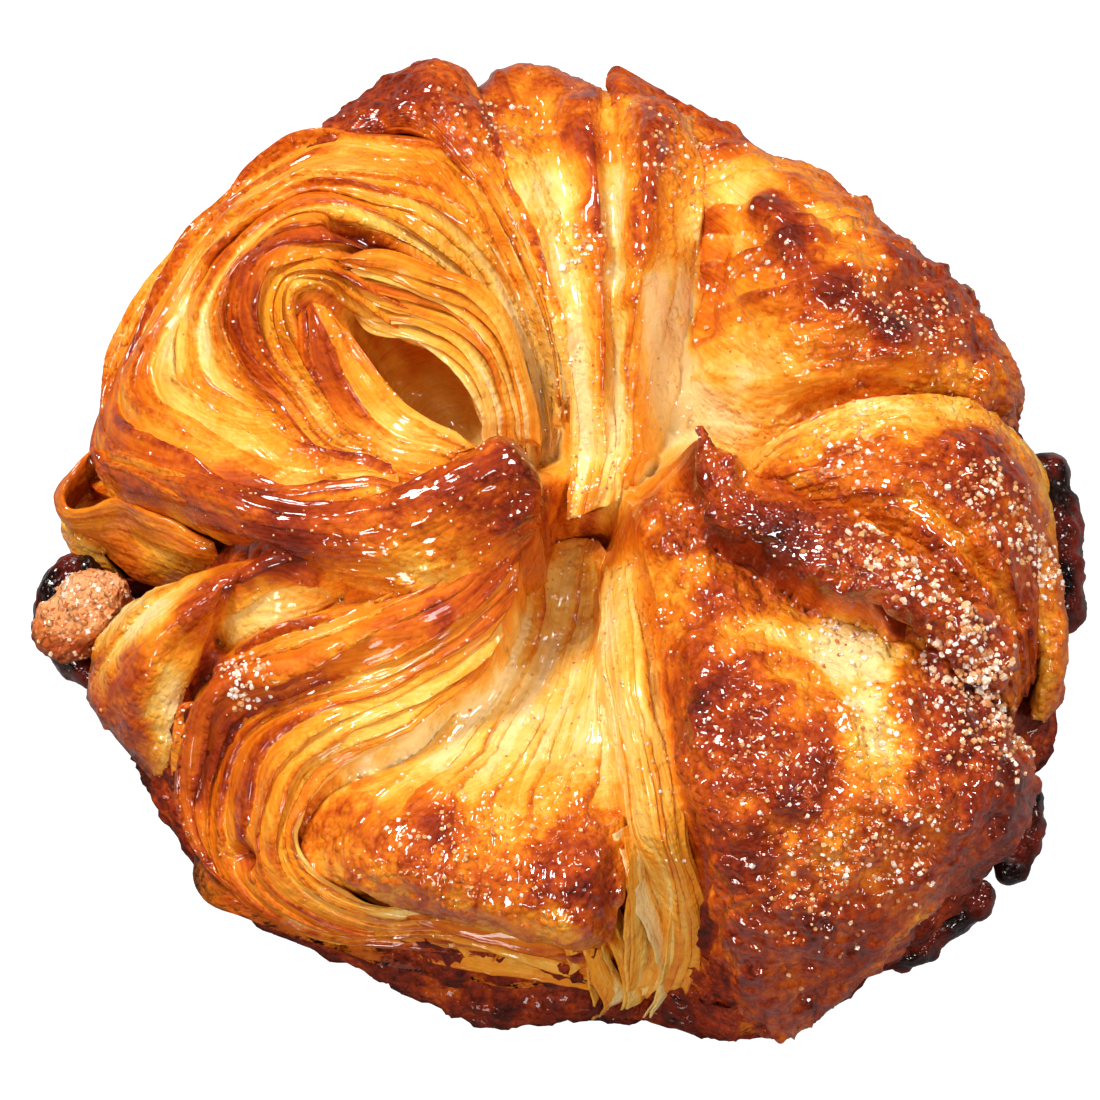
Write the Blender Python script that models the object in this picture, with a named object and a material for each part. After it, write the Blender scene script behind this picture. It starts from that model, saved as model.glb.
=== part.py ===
"""A kouign amann: laminated dough folded to its middle, with burnt caramel on its rim.

The pastry is one closed solid. Its skin is a surface over a round plan, and its height is
a dome to which every fold, furrow, mound and hollow adds its share. The caramel lumps and
the crumb knob on the rim are pieces of their own, and the pastry has a shallow seat for
each of them. Sizes are in millimetres and become metres as each mesh is made.
"""

import math
from dataclasses import dataclass

import bpy
import numpy as np
from mathutils import Vector, noise

MM = 0.001

# --- driving dimensions -------------------------------------------------------------

PLAN_RADIUS = 47.0
PLAN_CENTRE = (-0.47, -0.57)
FOOT_SHARE = 0.95
WALL = ((3.0, 0.985), (7.5, 1.0))
RIM_HEIGHT = 12.5
POINTS_AROUND = 124
RINGS_ACROSS = 28
SEAT_GAP = 0.45
LOWEST_SKIN = 6.0
CRUST_ROUGHNESS = 0.35
CRUST_GRAIN_PITCH = 0.35
CRUST_GRAIN_SEED = 1.7

# The folds fade towards the rim: where the fade ends, over what share, and what is left.
RIM_FADE_END = 1.02
RIM_FADE_SHARE = 0.2
RIM_FADE_LEFT = 0.25

# Places tried along a fold's arc, and how finely the dome is eased (the window is odd).
ARC_PLACES = 33
DOME_PLACES = 201
DOME_WINDOW = 15

CRUST_COLOUR = (0.62, 0.27, 0.05)
CRUST_MATTNESS = 0.38
CRUMB_COLOUR = (0.66, 0.28, 0.07)
CRUMB_MATTNESS = 0.6
CARAMEL_COLOUR = (0.035, 0.008, 0.006)
CARAMEL_MATTNESS = 0.12

# The plan's bulges and dents: direction in degrees, half width in degrees, amount.
PLAN_BUMPS = (
    (318.0, 34.0, 7.0),
    (344.0, 7.0, 1.6),
    (293.0, 8.0, 3.0),
    (60.0, 20.0, -3.2),
    (104.0, 6.0, 2.8),
    (93.0, 4.0, 0.8),
    (83.0, 3.0, 1.0),
    (130.0, 24.0, 2.0),
    (176.0, 5.0, 2.4),
    (245.0, 12.0, -2.0),
    (15.0, 7.0, 2.2),
)

# Height of the plain dome at shares of the plan's radius.
DOME = (
    (0.0, 11.0),
    (0.12, 14.0),
    (0.3, 21.5),
    (0.5, 26.5),
    (0.68, 27.0),
    (0.84, 23.0),
    (0.94, 17.5),
    (1.0, RIM_HEIGHT),
)


@dataclass(frozen=True)
class Fold:
    """A ridge or furrow along one arc of the plan, from its start to its end."""

    start: tuple
    end: tuple
    bend: float
    rise: float
    half_width: float
    end_share: float = 1.0


@dataclass(frozen=True)
class Mound:
    """A round or oval swelling, or a hollow where its rise is negative."""

    centre: tuple
    radii: tuple
    turn: float
    rise: float
    edge: float = 2.0


FOLDS = (
    # the back's ridges, which run inwards from the rim
    Fold((-12.0, 46.0), (-5.0, 22.0), -1.5, 3.4, 3.2, 0.4),
    Fold((-3.7, 45.5), (-1.2, 21.0), 1.0, 3.5, 2.6, 0.5),
    Fold((5.0, 45.5), (3.8, 22.0), -0.5, 3.0, 2.2, 0.6),
    Fold((10.2, 40.0), (7.8, 14.0), 0.5, 4.0, 2.4, 0.6),
    # the right-hand flaps
    Fold((20.0, 3.0), (45.0, 6.5), 2.5, 5.0, 3.4, 0.7),
    Fold((13.5, 3.5), (43.5, -18.5), 3.5, 8.0, 3.6, 0.6),
    # the front's standing ridge
    Fold((5.8, -9.0), (8.6, -45.0), -1.5, 4.5, 2.6, 0.7),
    # the long crest that runs from the left rim to its tip over the middle
    Fold((-45.5, 4.0), (-20.0, -3.5), -2.0, 5.0, 3.2, 1.2),
    Fold((-22.0, -4.0), (-4.5, 4.0), -1.0, 7.5, 3.4, 1.1),
    # the left and front-left folds
    Fold((-26.0, -7.0), (-42.0, -16.5), -2.5, 4.5, 2.6, 0.6),
    Fold((-10.0, -12.0), (-33.0, -25.0), -2.0, 5.0, 2.6, 0.6),
    Fold((-15.0, -20.5), (-33.0, -30.0), -2.5, 3.5, 2.4, 0.6),
    Fold((-25.5, -26.0), (-9.5, -42.0), -6.5, 4.5, 2.6, 0.8),
    # furrows between the lobes
    Fold((-1.0, -3.5), (-10.0, -26.0), 1.5, -9.0, 4.6, 0.15),
    Fold((13.0, 9.0), (14.5, 26.0), 0.5, -6.0, 3.4, 0.3),
    Fold((17.5, 9.5), (46.0, 11.5), 0.5, -5.0, 2.8, 0.6),
    Fold((-30.0, -8.5), (-44.0, -8.0), 1.0, -4.0, 2.8, 0.9),
    Fold((-24.0, -13.0), (-38.0, -23.0), -1.5, -3.5, 2.4, 0.8),
    Fold((10.8, -32.0), (10.8, -46.0), 0.5, -3.5, 2.4, 0.9),
)

MOUNDS = (
    # the back-right and front-right lobes, and the browned heads at the front
    Mound((25.0, 24.0), (15.0, 10.0), -35.0, 4.0),
    Mound((19.0, -25.0), (11.0, 15.0), 10.0, 6.5),
    Mound((35.0, -30.0), (9.0, 9.0), 0.0, 6.0),
    Mound((-15.5, -33.5), (5.5, 4.5), 0.0, 4.5),
    Mound((2.5, -36.5), (5.0, 6.0), 0.0, 5.5),
    Mound((-30.0, 24.0), (15.0, 15.0), 0.0, 3.0),
    # the middle's pit and the pocket behind the front-left rim
    Mound((0.5, 2.5), (6.5, 5.0), 0.0, -4.0),
    Mound((-21.5, -30.0), (3.6, 5.0), 30.0, -5.0),
)

# The rolled corner at the back left: nested ridges about its eye.
SWIRL_EYE = (-24.5, 18.5)
SWIRL_PITCH = 7.2
SWIRL_RADIUS = 22.0
SWIRL_RISE = 1.2
SWIRL_EYE_RISE = 2.5
SWIRL_OPEN_SIDE = -35.0
SWIRL_OPEN_HALF = 70.0
SWIRL_OPEN_SOFTNESS = 8.0
SWIRL_EDGE_SOFTNESS = 2.5
SWIRL_CROWN_RADIUS = 9.0

# The hollow beside the eye, under the fan of thin layers.
HOLLOW = Mound((-12.8, 11.0), (6.2, 4.6), -28.0, -17.0, 4.0)

# A lump's rounded ends: sections at these shares of its radius beyond the last bead.
END_SHARES = (0.92, 0.6)
LUMP_GRAIN_PITCH = 0.55
LUMP_GRAIN_REACH = 2.0
LUMP_EASINGS = 2


# --- the height of the skin ---------------------------------------------------------


def arc_distance(x, y, fold):
    """Distance of each place from a fold's arc, and the share along it of the nearest point."""
    start = np.array(fold.start)
    along = np.array(fold.end) - start
    across = np.array((-along[1], along[0])) / np.hypot(*along)
    nearest = np.full(x.shape, np.inf)
    share = np.zeros(x.shape)
    for step in np.linspace(0.0, 1.0, ARC_PLACES):
        point = start + along * step + across * fold.bend * 4 * step * (1 - step)
        distance = np.hypot(x - point[0], y - point[1])
        closer = distance < nearest
        nearest = np.where(closer, distance, nearest)
        share = np.where(closer, step, share)
    return nearest, share


def fold_height(x, y, fold):
    """What a fold adds: its rise along its arc, falling off smoothly to each side."""
    distance, share = arc_distance(x, y, fold)
    rise = fold.rise * (1 + (fold.end_share - 1) * share)
    return rise * np.exp(-((distance / fold.half_width) ** 2))


def mound_height(x, y, mound):
    """What a mound adds: flat-topped where its edge power is high."""
    turn = math.radians(mound.turn)
    dx = x - mound.centre[0]
    dy = y - mound.centre[1]
    u = (dx * math.cos(turn) + dy * math.sin(turn)) / mound.radii[0]
    v = (dy * math.cos(turn) - dx * math.sin(turn)) / mound.radii[1]
    return mound.rise * np.exp(-(np.hypot(u, v) ** mound.edge))


def swirl_height(x, y):
    """Nested ridges about the swirl's eye, open towards the hollow."""
    dx = x - SWIRL_EYE[0]
    dy = y - SWIRL_EYE[1]
    radius = np.hypot(dx, dy)
    direction = np.degrees(np.arctan2(dy, dx))
    off_open = np.abs((direction - SWIRL_OPEN_SIDE + 180) % 360 - 180)
    closed = 1 / (1 + np.exp(-(off_open - SWIRL_OPEN_HALF) / SWIRL_OPEN_SOFTNESS))
    inside = 1 / (1 + np.exp((radius - SWIRL_RADIUS) / SWIRL_EDGE_SOFTNESS))
    waves = SWIRL_RISE * np.cos(2 * math.pi * radius / SWIRL_PITCH)
    crown = SWIRL_EYE_RISE * np.exp(-((radius / SWIRL_CROWN_RADIUS) ** 2))
    return (waves * closed + crown) * inside


def plan_radius(direction):
    """Radius of the plan in a direction in degrees."""
    radius = np.full(np.shape(direction), PLAN_RADIUS)
    for centre, half, amount in PLAN_BUMPS:
        off = (direction - centre + 180) % 360 - 180
        radius = radius + amount * np.exp(-((off / half) ** 2))
    return radius


def dome_height(share):
    """The plain dome, eased between its named heights."""
    shares = np.array([row[0] for row in DOME])
    heights = np.array([row[1] for row in DOME])
    fine = np.linspace(0.0, 1.0, DOME_PLACES)
    coarse = np.interp(fine, shares, heights)
    kernel = np.hanning(DOME_WINDOW)
    padded = np.pad(coarse, DOME_WINDOW // 2, mode="edge")
    eased = np.convolve(padded, kernel / kernel.sum(), mode="valid")
    return np.interp(share, fine, eased)


def skin_height(x, y, share):
    """Height of the pastry's top over a place of the plan."""
    height = dome_height(share)
    added = np.zeros(np.shape(x))
    for fold in FOLDS:
        added = added + fold_height(x, y, fold)
    for mound in MOUNDS:
        added = added + mound_height(x, y, mound)
    added = added + swirl_height(x, y)
    added = added + mound_height(x, y, HOLLOW)
    fade = np.clip((RIM_FADE_END - share) / RIM_FADE_SHARE, RIM_FADE_LEFT, 1.0)
    return np.maximum(height + added * fade, LOWEST_SKIN)


# --- meshes -------------------------------------------------------------------------


def material(name, colour, roughness):
    """A plain Principled material."""
    made = bpy.data.materials.new(name)
    made.use_nodes = True
    shader = made.node_tree.nodes["Principled BSDF"]
    shader.inputs["Base Color"].default_value = (*colour, 1.0)
    shader.inputs["Roughness"].default_value = roughness
    shader.inputs["Metallic"].default_value = 0.0
    return made


def add_object(name, points, faces, finish=None):
    """An object from points in millimetres and faces, linked to the scene."""
    shift = Vector((*PLAN_CENTRE, 0.0))
    mesh = bpy.data.meshes.new(name)
    mesh.from_pydata([(Vector(point) - shift) * MM for point in points], [], faces)
    mesh.update()
    if finish:
        mesh.materials.append(finish)
    made = bpy.data.objects.new(name, mesh)
    bpy.context.scene.collection.objects.link(made)
    return made


def ring_faces(first, second, count):
    """Quads between two rings of the same count, the second inside or above the first."""
    faces = []
    for i in range(count):
        j = (i + 1) % count
        faces.append((first + i, first + j, second + j, second + i))
    return faces


def build_pastry(finish):
    """The folded pastry: base, wall, and rings of skin that close at the middle."""
    directions = np.arange(POINTS_AROUND) * 360.0 / POINTS_AROUND
    radius = plan_radius(directions)
    unit = np.stack((np.cos(np.radians(directions)), np.sin(np.radians(directions))), axis=1)
    rings = [np.column_stack((unit * (radius * FOOT_SHARE)[:, None], np.zeros(POINTS_AROUND)))]
    for height, share in WALL:
        rings.append(np.column_stack((unit * (radius * share)[:, None], np.full(POINTS_AROUND, height))))
    for share in np.linspace(1.0, 1.0 / (RINGS_ACROSS + 1), RINGS_ACROSS):
        places = unit * (radius * share)[:, None]
        height = skin_height(places[:, 0], places[:, 1], share)
        if share < 1.0:
            spots = places * CRUST_GRAIN_PITCH
            grain = [noise.noise((across, along, CRUST_GRAIN_SEED)) for across, along in spots]
            height = height + CRUST_ROUGHNESS * np.array(grain)
        rings.append(np.column_stack((places, height)))
    points = [tuple(point) for ring in rings for point in ring]
    faces = []
    for index in range(len(rings) - 1):
        faces += ring_faces(index * POINTS_AROUND, (index + 1) * POINTS_AROUND, POINTS_AROUND)
    base_middle = len(points)
    points.append((0.0, 0.0, 0.0))
    top_middle = len(points)
    points.append((0.0, 0.0, float(skin_height(np.zeros(1), np.zeros(1), 0.0)[0])))
    last = (len(rings) - 1) * POINTS_AROUND
    for i in range(POINTS_AROUND):
        j = (i + 1) % POINTS_AROUND
        faces.append((base_middle, j, i))
        faces.append((top_middle, last + i, last + j))
    return add_object("pastry", points, faces, finish)


def lump_mesh(lump, swell):
    """Points and faces of a lump that runs along beads (x, y, z, radius), swollen evenly."""
    beads = np.array(lump.beads, dtype=float)
    around = lump.around
    stations = []
    for index in range(len(beads) - 1):
        for step in range(lump.along):
            share = step / lump.along
            eased = share * share * (3 - 2 * share)
            place = beads[index] + (beads[index + 1] - beads[index]) * share
            place[3] = beads[index][3] + (beads[index + 1][3] - beads[index][3]) * eased
            stations.append(place)
    stations.append(beads[-1].copy())
    stations = np.array(stations)
    for _ in range(LUMP_EASINGS):
        stations[1:-1] = (stations[:-2] + 2 * stations[1:-1] + stations[2:]) / 4
    run = stations[:, :3]
    ahead = np.gradient(run, axis=0)
    points = []
    rings = []
    first = Vector(ahead[0]).normalized()
    last = Vector(ahead[-1]).normalized()
    start_radius = stations[0][3] + swell
    end_radius = stations[-1][3] + swell
    sections = []
    for lift in END_SHARES:
        width = start_radius * math.sqrt(1 - lift * lift)
        sections.append((Vector(run[0]) - first * start_radius * lift, first, width))
    for place, way in zip(stations, ahead):
        sections.append((Vector(place[:3]), Vector(way).normalized(), place[3] + swell))
    for lift in reversed(END_SHARES):
        width = end_radius * math.sqrt(1 - lift * lift)
        sections.append((Vector(run[-1]) + last * end_radius * lift, last, width))
    side = Vector((0.0, 0.0, 1.0))
    for centre, way, radius in sections:
        side = (side - way * side.dot(way)).normalized()
        other = way.cross(side)
        rings.append(len(points))
        for i in range(around):
            turn = 2 * math.pi * i / around
            out = side * math.cos(turn) + other * math.sin(turn)
            grain = (centre + out * LUMP_GRAIN_REACH) * LUMP_GRAIN_PITCH + Vector((lump.seed, 0.0, 0.0))
            points.append(centre + out * radius * (1 + lump.lumpiness * noise.noise(grain)))
    faces = []
    for before, after in zip(rings[:-1], rings[1:]):
        faces += ring_faces(before, after, around)
    head = len(points)
    points.append(Vector(run[0]) - first * start_radius)
    tail = len(points)
    points.append(Vector(run[-1]) + last * end_radius)
    for i in range(around):
        j = (i + 1) % around
        faces.append((head, j, i))
        faces.append((tail, rings[-1] + i, rings[-1] + j))
    return points, faces


@dataclass(frozen=True)
class Lump:
    """A piece stuck on the rim: its beads, points around and along them, and lumpiness."""

    name: str
    beads: tuple
    around: int
    along: int
    lumpiness: float
    seed: float


CRUMB_KNOB = Lump("crumb_knob", ((-48.4, -7.6, 8.5, 3.9), (-45.0, -5.6, 10.5, 4.0)), 14, 3, 0.26, 3.0)

CARAMEL_LUMPS = (
    Lump(
        "caramel_left",
        ((-46.8, -1.0, 6.6, 2.0), (-49.8, -3.2, 5.6, 2.7), (-50.0, -7.2, 2.9, 2.4), (-46.6, -10.5, 3.0, 1.9)),
        10,
        3,
        0.3,
        0.0,
    ),
    Lump(
        "caramel_right_back",
        ((48.2, 7.8, 13.0, 1.5), (49.4, 3.0, 12.5, 1.9), (49.8, -1.5, 12.0, 2.0), (49.6, -5.6, 10.0, 1.7)),
        10,
        3,
        0.3,
        5.0,
    ),
    Lump(
        "caramel_right",
        ((47.3, -25.6, 8.0, 1.7), (47.2, -28.4, 5.5, 2.0), (45.9, -30.8, 4.5, 1.5)),
        10,
        3,
        0.3,
        9.0,
    ),
    Lump(
        "caramel_front_right",
        ((42.6, -35.6, 4.0, 2.1), (39.8, -38.0, 3.0, 1.3), (36.2, -40.6, 3.0, 2.1)),
        10,
        3,
        0.25,
        14.0,
    ),
)


def add_lump(lump, finish):
    """The lump itself."""
    points, faces = lump_mesh(lump, 0.0)
    return add_object(lump.name, points, faces, finish)


def cut_seat(target, lump):
    """Cuts a seat for the lump, with a small gap all round, from the target."""
    points, faces = lump_mesh(lump, SEAT_GAP)
    cutter = add_object(f"seat_in_{target.name}_for_{lump.name}", points, faces)
    cutter.hide_render = True
    cutter.display_type = "WIRE"
    seat = target.modifiers.new(f"seat for {lump.name}", "BOOLEAN")
    seat.operation = "DIFFERENCE"
    seat.object = cutter


def main():
    """Clears the scene and builds every piece."""
    for old in list(bpy.data.objects):
        bpy.data.objects.remove(old)
    crust = material("baked_crust", CRUST_COLOUR, CRUST_MATTNESS)
    crumb = material("sugar_crumb", CRUMB_COLOUR, CRUMB_MATTNESS)
    caramel = material("burnt_caramel", CARAMEL_COLOUR, CARAMEL_MATTNESS)
    pastry = build_pastry(crust)
    knob = add_lump(CRUMB_KNOB, crumb)
    cut_seat(pastry, CRUMB_KNOB)
    for lump in CARAMEL_LUMPS:
        add_lump(lump, caramel)
        cut_seat(pastry, lump)
    cut_seat(knob, CARAMEL_LUMPS[0])


main()
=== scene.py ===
"""The looks of a kouign amann: laminated, folded, caramelised dough with sugar on it.

The dough is built as leaves. A leaf is a folded sheet that runs between a few guide lines
set out in millimetres, and its skin carries the edges of the dough's thin layers.
The leaves lie over one core of plain crust, so no gap opens between them. Caramel lumps,
a knob of sugared crumb and loose sugar grains finish the piece.
"""

import logging
import math
from dataclasses import dataclass
from enum import Enum

import bpy
import numpy as np
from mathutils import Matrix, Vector
from mathutils.bvhtree import BVHTree


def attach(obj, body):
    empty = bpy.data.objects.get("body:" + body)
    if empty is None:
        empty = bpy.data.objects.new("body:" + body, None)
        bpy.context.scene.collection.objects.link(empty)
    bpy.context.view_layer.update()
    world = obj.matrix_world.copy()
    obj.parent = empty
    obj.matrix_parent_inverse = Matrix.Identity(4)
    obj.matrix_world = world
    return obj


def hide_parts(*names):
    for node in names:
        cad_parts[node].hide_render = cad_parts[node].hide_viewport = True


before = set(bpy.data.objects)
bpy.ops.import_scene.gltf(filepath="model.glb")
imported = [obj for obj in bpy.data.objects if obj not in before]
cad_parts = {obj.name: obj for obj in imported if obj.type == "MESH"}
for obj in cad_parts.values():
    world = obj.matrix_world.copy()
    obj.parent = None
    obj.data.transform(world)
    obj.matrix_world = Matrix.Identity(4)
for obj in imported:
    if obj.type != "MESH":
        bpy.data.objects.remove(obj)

LOG = logging.getLogger("kouign_amann")
MM = 0.001
# Leaves up to this thickness, in millimetres, are loose pages.
THIN = 1.5
Point = tuple[float, float, float]
Line = tuple[Point, ...]
WHITE: Point = (1.0, 1.0, 1.0)


# --- noise and curves ---------------------------------------------------------------


def lattice_value(cell: np.ndarray, seed: int) -> np.ndarray:
    """A fixed random number from -1 to 1 for each whole-numbered cell.

    Args:
        cell: whole numbers, one row of three for each cell.
        seed: picks another set of numbers.

    Returns:
        One number for each row.
    """
    mixed = cell[..., 0] * 73856093 ^ cell[..., 1] * 19349663 ^ cell[..., 2] * 83492791
    mixed = (mixed ^ (seed * 2654435761)) & 0xFFFFFFFF
    mixed = ((mixed ^ (mixed >> 15)) * 2246822519) & 0xFFFFFFFF
    mixed = ((mixed ^ (mixed >> 13)) * 3266489917) & 0xFFFFFFFF
    mixed = mixed ^ (mixed >> 16)
    return mixed.astype(np.float64) / 2147483647.5 - 1.0


def noise(x: np.ndarray, y: np.ndarray, z: np.ndarray, seed: int = 0) -> np.ndarray:
    """Smooth noise from -1 to 1 whose features are about one unit wide.

    Args:
        x: first coordinate.
        y: second coordinate.
        z: third coordinate.
        seed: picks another pattern.

    Returns:
        The noise at each place.
    """
    x, y, z = np.broadcast_arrays(x, y, z)
    place = np.stack((x, y, z), axis=-1).astype(np.float64)
    cell = np.floor(place).astype(np.int64)
    part = place - cell
    ease = part * part * part * (part * (part * 6 - 15) + 10)
    total = np.zeros(x.shape)
    for corner in range(8):
        step = np.array((corner & 1, corner >> 1 & 1, corner >> 2 & 1))
        weight = np.where(step, ease, 1 - ease).prod(axis=-1)
        total += weight * lattice_value(cell + step, seed)
    return total


def ripples(x: np.ndarray, y: np.ndarray, z: np.ndarray, seed: int, octaves: int) -> np.ndarray:
    """Noise summed over several octaves, each half as wide and half as strong.

    Args:
        x: first coordinate.
        y: second coordinate.
        z: third coordinate.
        seed: picks another pattern.
        octaves: how many widths are summed.

    Returns:
        The summed noise, roughly from -1 to 1.
    """
    total = 0.0
    for octave in range(octaves):
        scale = 2.0 ** octave
        total = total + noise(x * scale, y * scale, z * scale, seed + octave) / scale
    return total * 0.7


def spline(points: np.ndarray, where: np.ndarray) -> np.ndarray:
    """A smooth curve through points.

    Args:
        points: rows that the curve passes through in order; a row may itself be an array.
        where: places along the curve, counted in points from the first.

    Returns:
        The curve's value at each place.
    """
    count = len(points)
    if count == 2:
        share = where.reshape((-1,) + (1,) * (points.ndim - 1))
        return points[0] * (1 - share) + points[1] * share
    before = 2 * points[0] - points[1]
    after = 2 * points[-1] - points[-2]
    padded = np.concatenate((before[None], points, after[None]))
    first = np.clip(np.floor(where).astype(int), 0, count - 2)
    share = (where - first).reshape((-1,) + (1,) * (points.ndim - 1))
    a, b, c, d = (padded[first + k] for k in range(4))
    bend = 2 * a - 5 * b + 4 * c - d
    twist = 3 * b - a - 3 * c + d
    return 0.5 * (2 * b + (c - a) * share + bend * share ** 2 + twist * share ** 3)


def unit(rows: np.ndarray) -> np.ndarray:
    """Each vector of an array at length one."""
    length = np.linalg.norm(rows, axis=-1, keepdims=True)
    return rows / np.maximum(length, 1e-12)


def smooth_step(value: np.ndarray) -> np.ndarray:
    """Eases a number between 0 and 1, held at the ends."""
    held = np.clip(value, 0.0, 1.0)
    return held * held * (3 - 2 * held)


# --- meshes -------------------------------------------------------------------------


def vectors(mesh: bpy.types.Mesh, field: str) -> np.ndarray:
    """One vector for each point of a mesh: its place with co, its outward direction with normal."""
    flat = np.empty(len(mesh.vertices) * 3)
    mesh.vertices.foreach_get(field, flat)
    return flat.reshape(-1, 3)


def write_number(mesh: bpy.types.Mesh, label: str, values: np.ndarray) -> None:
    """Writes one number for each point of a mesh."""
    attribute = mesh.attributes.new(label, "FLOAT", "POINT")
    attribute.data.foreach_set("value", values.astype(np.float32))


def write_flow(mesh: bpy.types.Mesh, flow: np.ndarray) -> None:
    """Writes the distances along and across the dough that its streaks follow."""
    attribute = mesh.attributes.new("flow", "FLOAT_VECTOR", "POINT")
    attribute.data.foreach_set("vector", flow.astype(np.float32).ravel())


def added(name: str) -> bpy.types.Object:
    """Names the object that an operator has just added, and its mesh."""
    made = bpy.context.object
    made.name = name
    made.data.name = name
    return made


def apply_modifier(made: bpy.types.Object, kind: str, **settings: object) -> None:
    """Adds a modifier to the active object, sets it up and applies it."""
    modifier = made.modifiers.new(kind, kind)
    for name, value in settings.items():
        setattr(modifier, name, value)
    bpy.ops.object.modifier_apply(modifier=modifier.name)


def dress(made: bpy.types.Object, finish: bpy.types.Material) -> None:
    """Takes a piece's unused texture map away and gives it its material."""
    while made.data.uv_layers:
        made.data.uv_layers.remove(made.data.uv_layers[0])
    made.data.materials.append(finish)


# --- finishes -----------------------------------------------------------------------


class Slot(Enum):
    """The record's material slots."""

    CRUST = "baked_crust"
    CRUMB = "sugar_crumb"
    CARAMEL = "burnt_caramel"


class Nodes:
    """Short ways to add and join shader nodes in one tree."""

    def __init__(self, tree: bpy.types.NodeTree) -> None:
        """Keeps the tree that the nodes go in."""
        self.tree = tree

    def add(self, kind: str, **settings: object) -> bpy.types.Node:
        """Adds a node and sets its properties."""
        node = self.tree.nodes.new(kind)
        for name, value in settings.items():
            setattr(node, name, value)
        return node

    def link(self, start: bpy.types.NodeSocket, end: bpy.types.NodeSocket) -> None:
        """Joins two sockets."""
        self.tree.links.new(start, end)

    def math(self, operation: str, first: object, second: object) -> bpy.types.NodeSocket:
        """Adds a Math node fed by sockets or plain numbers."""
        node = self.add("ShaderNodeMath", operation=operation)
        for socket, value in zip(node.inputs, (first, second)):
            if isinstance(value, bpy.types.NodeSocket):
                self.link(value, socket)
            else:
                socket.default_value = value
        return node.outputs[0]

    def attribute(self, name: str) -> bpy.types.Node:
        """Adds a node that reads one of the mesh's attributes."""
        return self.add("ShaderNodeAttribute", attribute_name=name)

    def noise(self, vector: bpy.types.NodeSocket, scale: float, detail: float) -> bpy.types.NodeSocket:
        """Adds a Noise texture and returns its number."""
        node = self.add("ShaderNodeTexNoise")
        self.fill(node, Scale=scale, Detail=detail)
        self.link(vector, node.inputs["Vector"])
        return node.outputs["Fac"]

    @staticmethod
    def fill(node: bpy.types.Node, **values: object) -> None:
        """Sets inputs of a node to plain values, named with _ for each space."""
        for name, value in values.items():
            node.inputs[name.replace("_", " ")].default_value = value

    def bump(self, height: bpy.types.NodeSocket, distance: float, shader: bpy.types.Node) -> None:
        """Roughens a shader's surface by a height."""
        node = self.add("ShaderNodeBump")
        self.fill(node, Distance=distance)
        self.link(height, node.inputs["Height"])
        self.link(node.outputs["Normal"], shader.inputs["Normal"])

    def ramp(self, stops: tuple[tuple[float, Point], ...]) -> bpy.types.Node:
        """Adds a colour ramp with the given stops."""
        node = self.add("ShaderNodeValToRGB")
        elements = node.color_ramp.elements
        while len(elements) < len(stops):
            elements.new(0.5)
        for element, (place, colour) in zip(elements, stops):
            element.position = place
            element.color = (*colour, 1.0)
        return node


def new_group(
    name: str, inputs: dict[str, tuple[str, object]], outputs: dict[str, str]
) -> bpy.types.NodeTree:
    """Makes an empty shader node group with named sockets.

    Args:
        name: the group's name.
        inputs: for each input, its kind (Float, Color or Vector) and its default.
        outputs: for each output, its kind.

    Returns:
        The group, with its input and output nodes added.
    """
    group = bpy.data.node_groups.new(name, "ShaderNodeTree")
    for label, (kind, default) in inputs.items():
        socket = group.interface.new_socket(label, in_out="INPUT", socket_type=f"NodeSocket{kind}")
        socket.default_value = default
    for label, kind in outputs.items():
        group.interface.new_socket(label, in_out="OUTPUT", socket_type=f"NodeSocket{kind}")
    group.nodes.new("NodeGroupInput")
    group.nodes.new("NodeGroupOutput")
    return group


def glaze_group() -> bpy.types.NodeTree:
    """A glaze's unevenness: a height for its ripples and beads, and how wet each place is.

    Returns:
        The group, with inputs Scale and Beads and outputs Height and Wetness.
    """
    found = bpy.data.node_groups.get("glaze_unevenness")
    if found:
        return found
    inputs = {"Scale": ("Float", 1.0), "Beads": ("Float", 0.5)}
    group = new_group("glaze_unevenness", inputs, {"Height": "Float", "Wetness": "Float"})
    nodes = Nodes(group)
    given = group.nodes["Group Input"]
    result = group.nodes["Group Output"]
    place = nodes.add("ShaderNodeTexCoord")
    scaled = nodes.add("ShaderNodeVectorMath", operation="SCALE")
    nodes.link(place.outputs["Object"], scaled.inputs[0])
    nodes.link(given.outputs["Scale"], scaled.inputs["Scale"])
    fine = nodes.noise(scaled.outputs[0], 1300.0, 2.0)
    broad = nodes.noise(scaled.outputs[0], 340.0, 1.0)
    patches = nodes.noise(scaled.outputs[0], 150.0, 2.0)
    middle = nodes.noise(scaled.outputs[0], 760.0, 1.0)
    height = nodes.math("ADD", nodes.math("MULTIPLY", fine, 0.08), nodes.math("MULTIPLY", middle, 0.7))
    height = nodes.math("ADD", height, nodes.math("MULTIPLY", broad, 1.7))
    for scale, strength in ((1150.0, 0.75), (2300.0, 0.2)):
        beads = nodes.add("ShaderNodeTexVoronoi", feature="F1")
        beads.inputs["Scale"].default_value = scale
        nodes.link(scaled.outputs[0], beads.inputs["Vector"])
        across = nodes.math("MULTIPLY", beads.outputs["Distance"], 2.0)
        dome = nodes.math("SUBTRACT", 1.0, nodes.math("MULTIPLY", across, across))
        dome = nodes.math("MULTIPLY", nodes.math("MAXIMUM", dome, 0.0), strength)
        height = nodes.math("ADD", height, nodes.math("MULTIPLY", dome, given.outputs["Beads"]))
    nodes.link(height, result.inputs["Height"])
    wet = nodes.math("MULTIPLY", nodes.math("SUBTRACT", patches, 0.38), 4.0)
    wet = nodes.math("MINIMUM", nodes.math("MAXIMUM", wet, 0.0), 1.0)
    nodes.link(wet, result.inputs["Wetness"])
    return group


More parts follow.
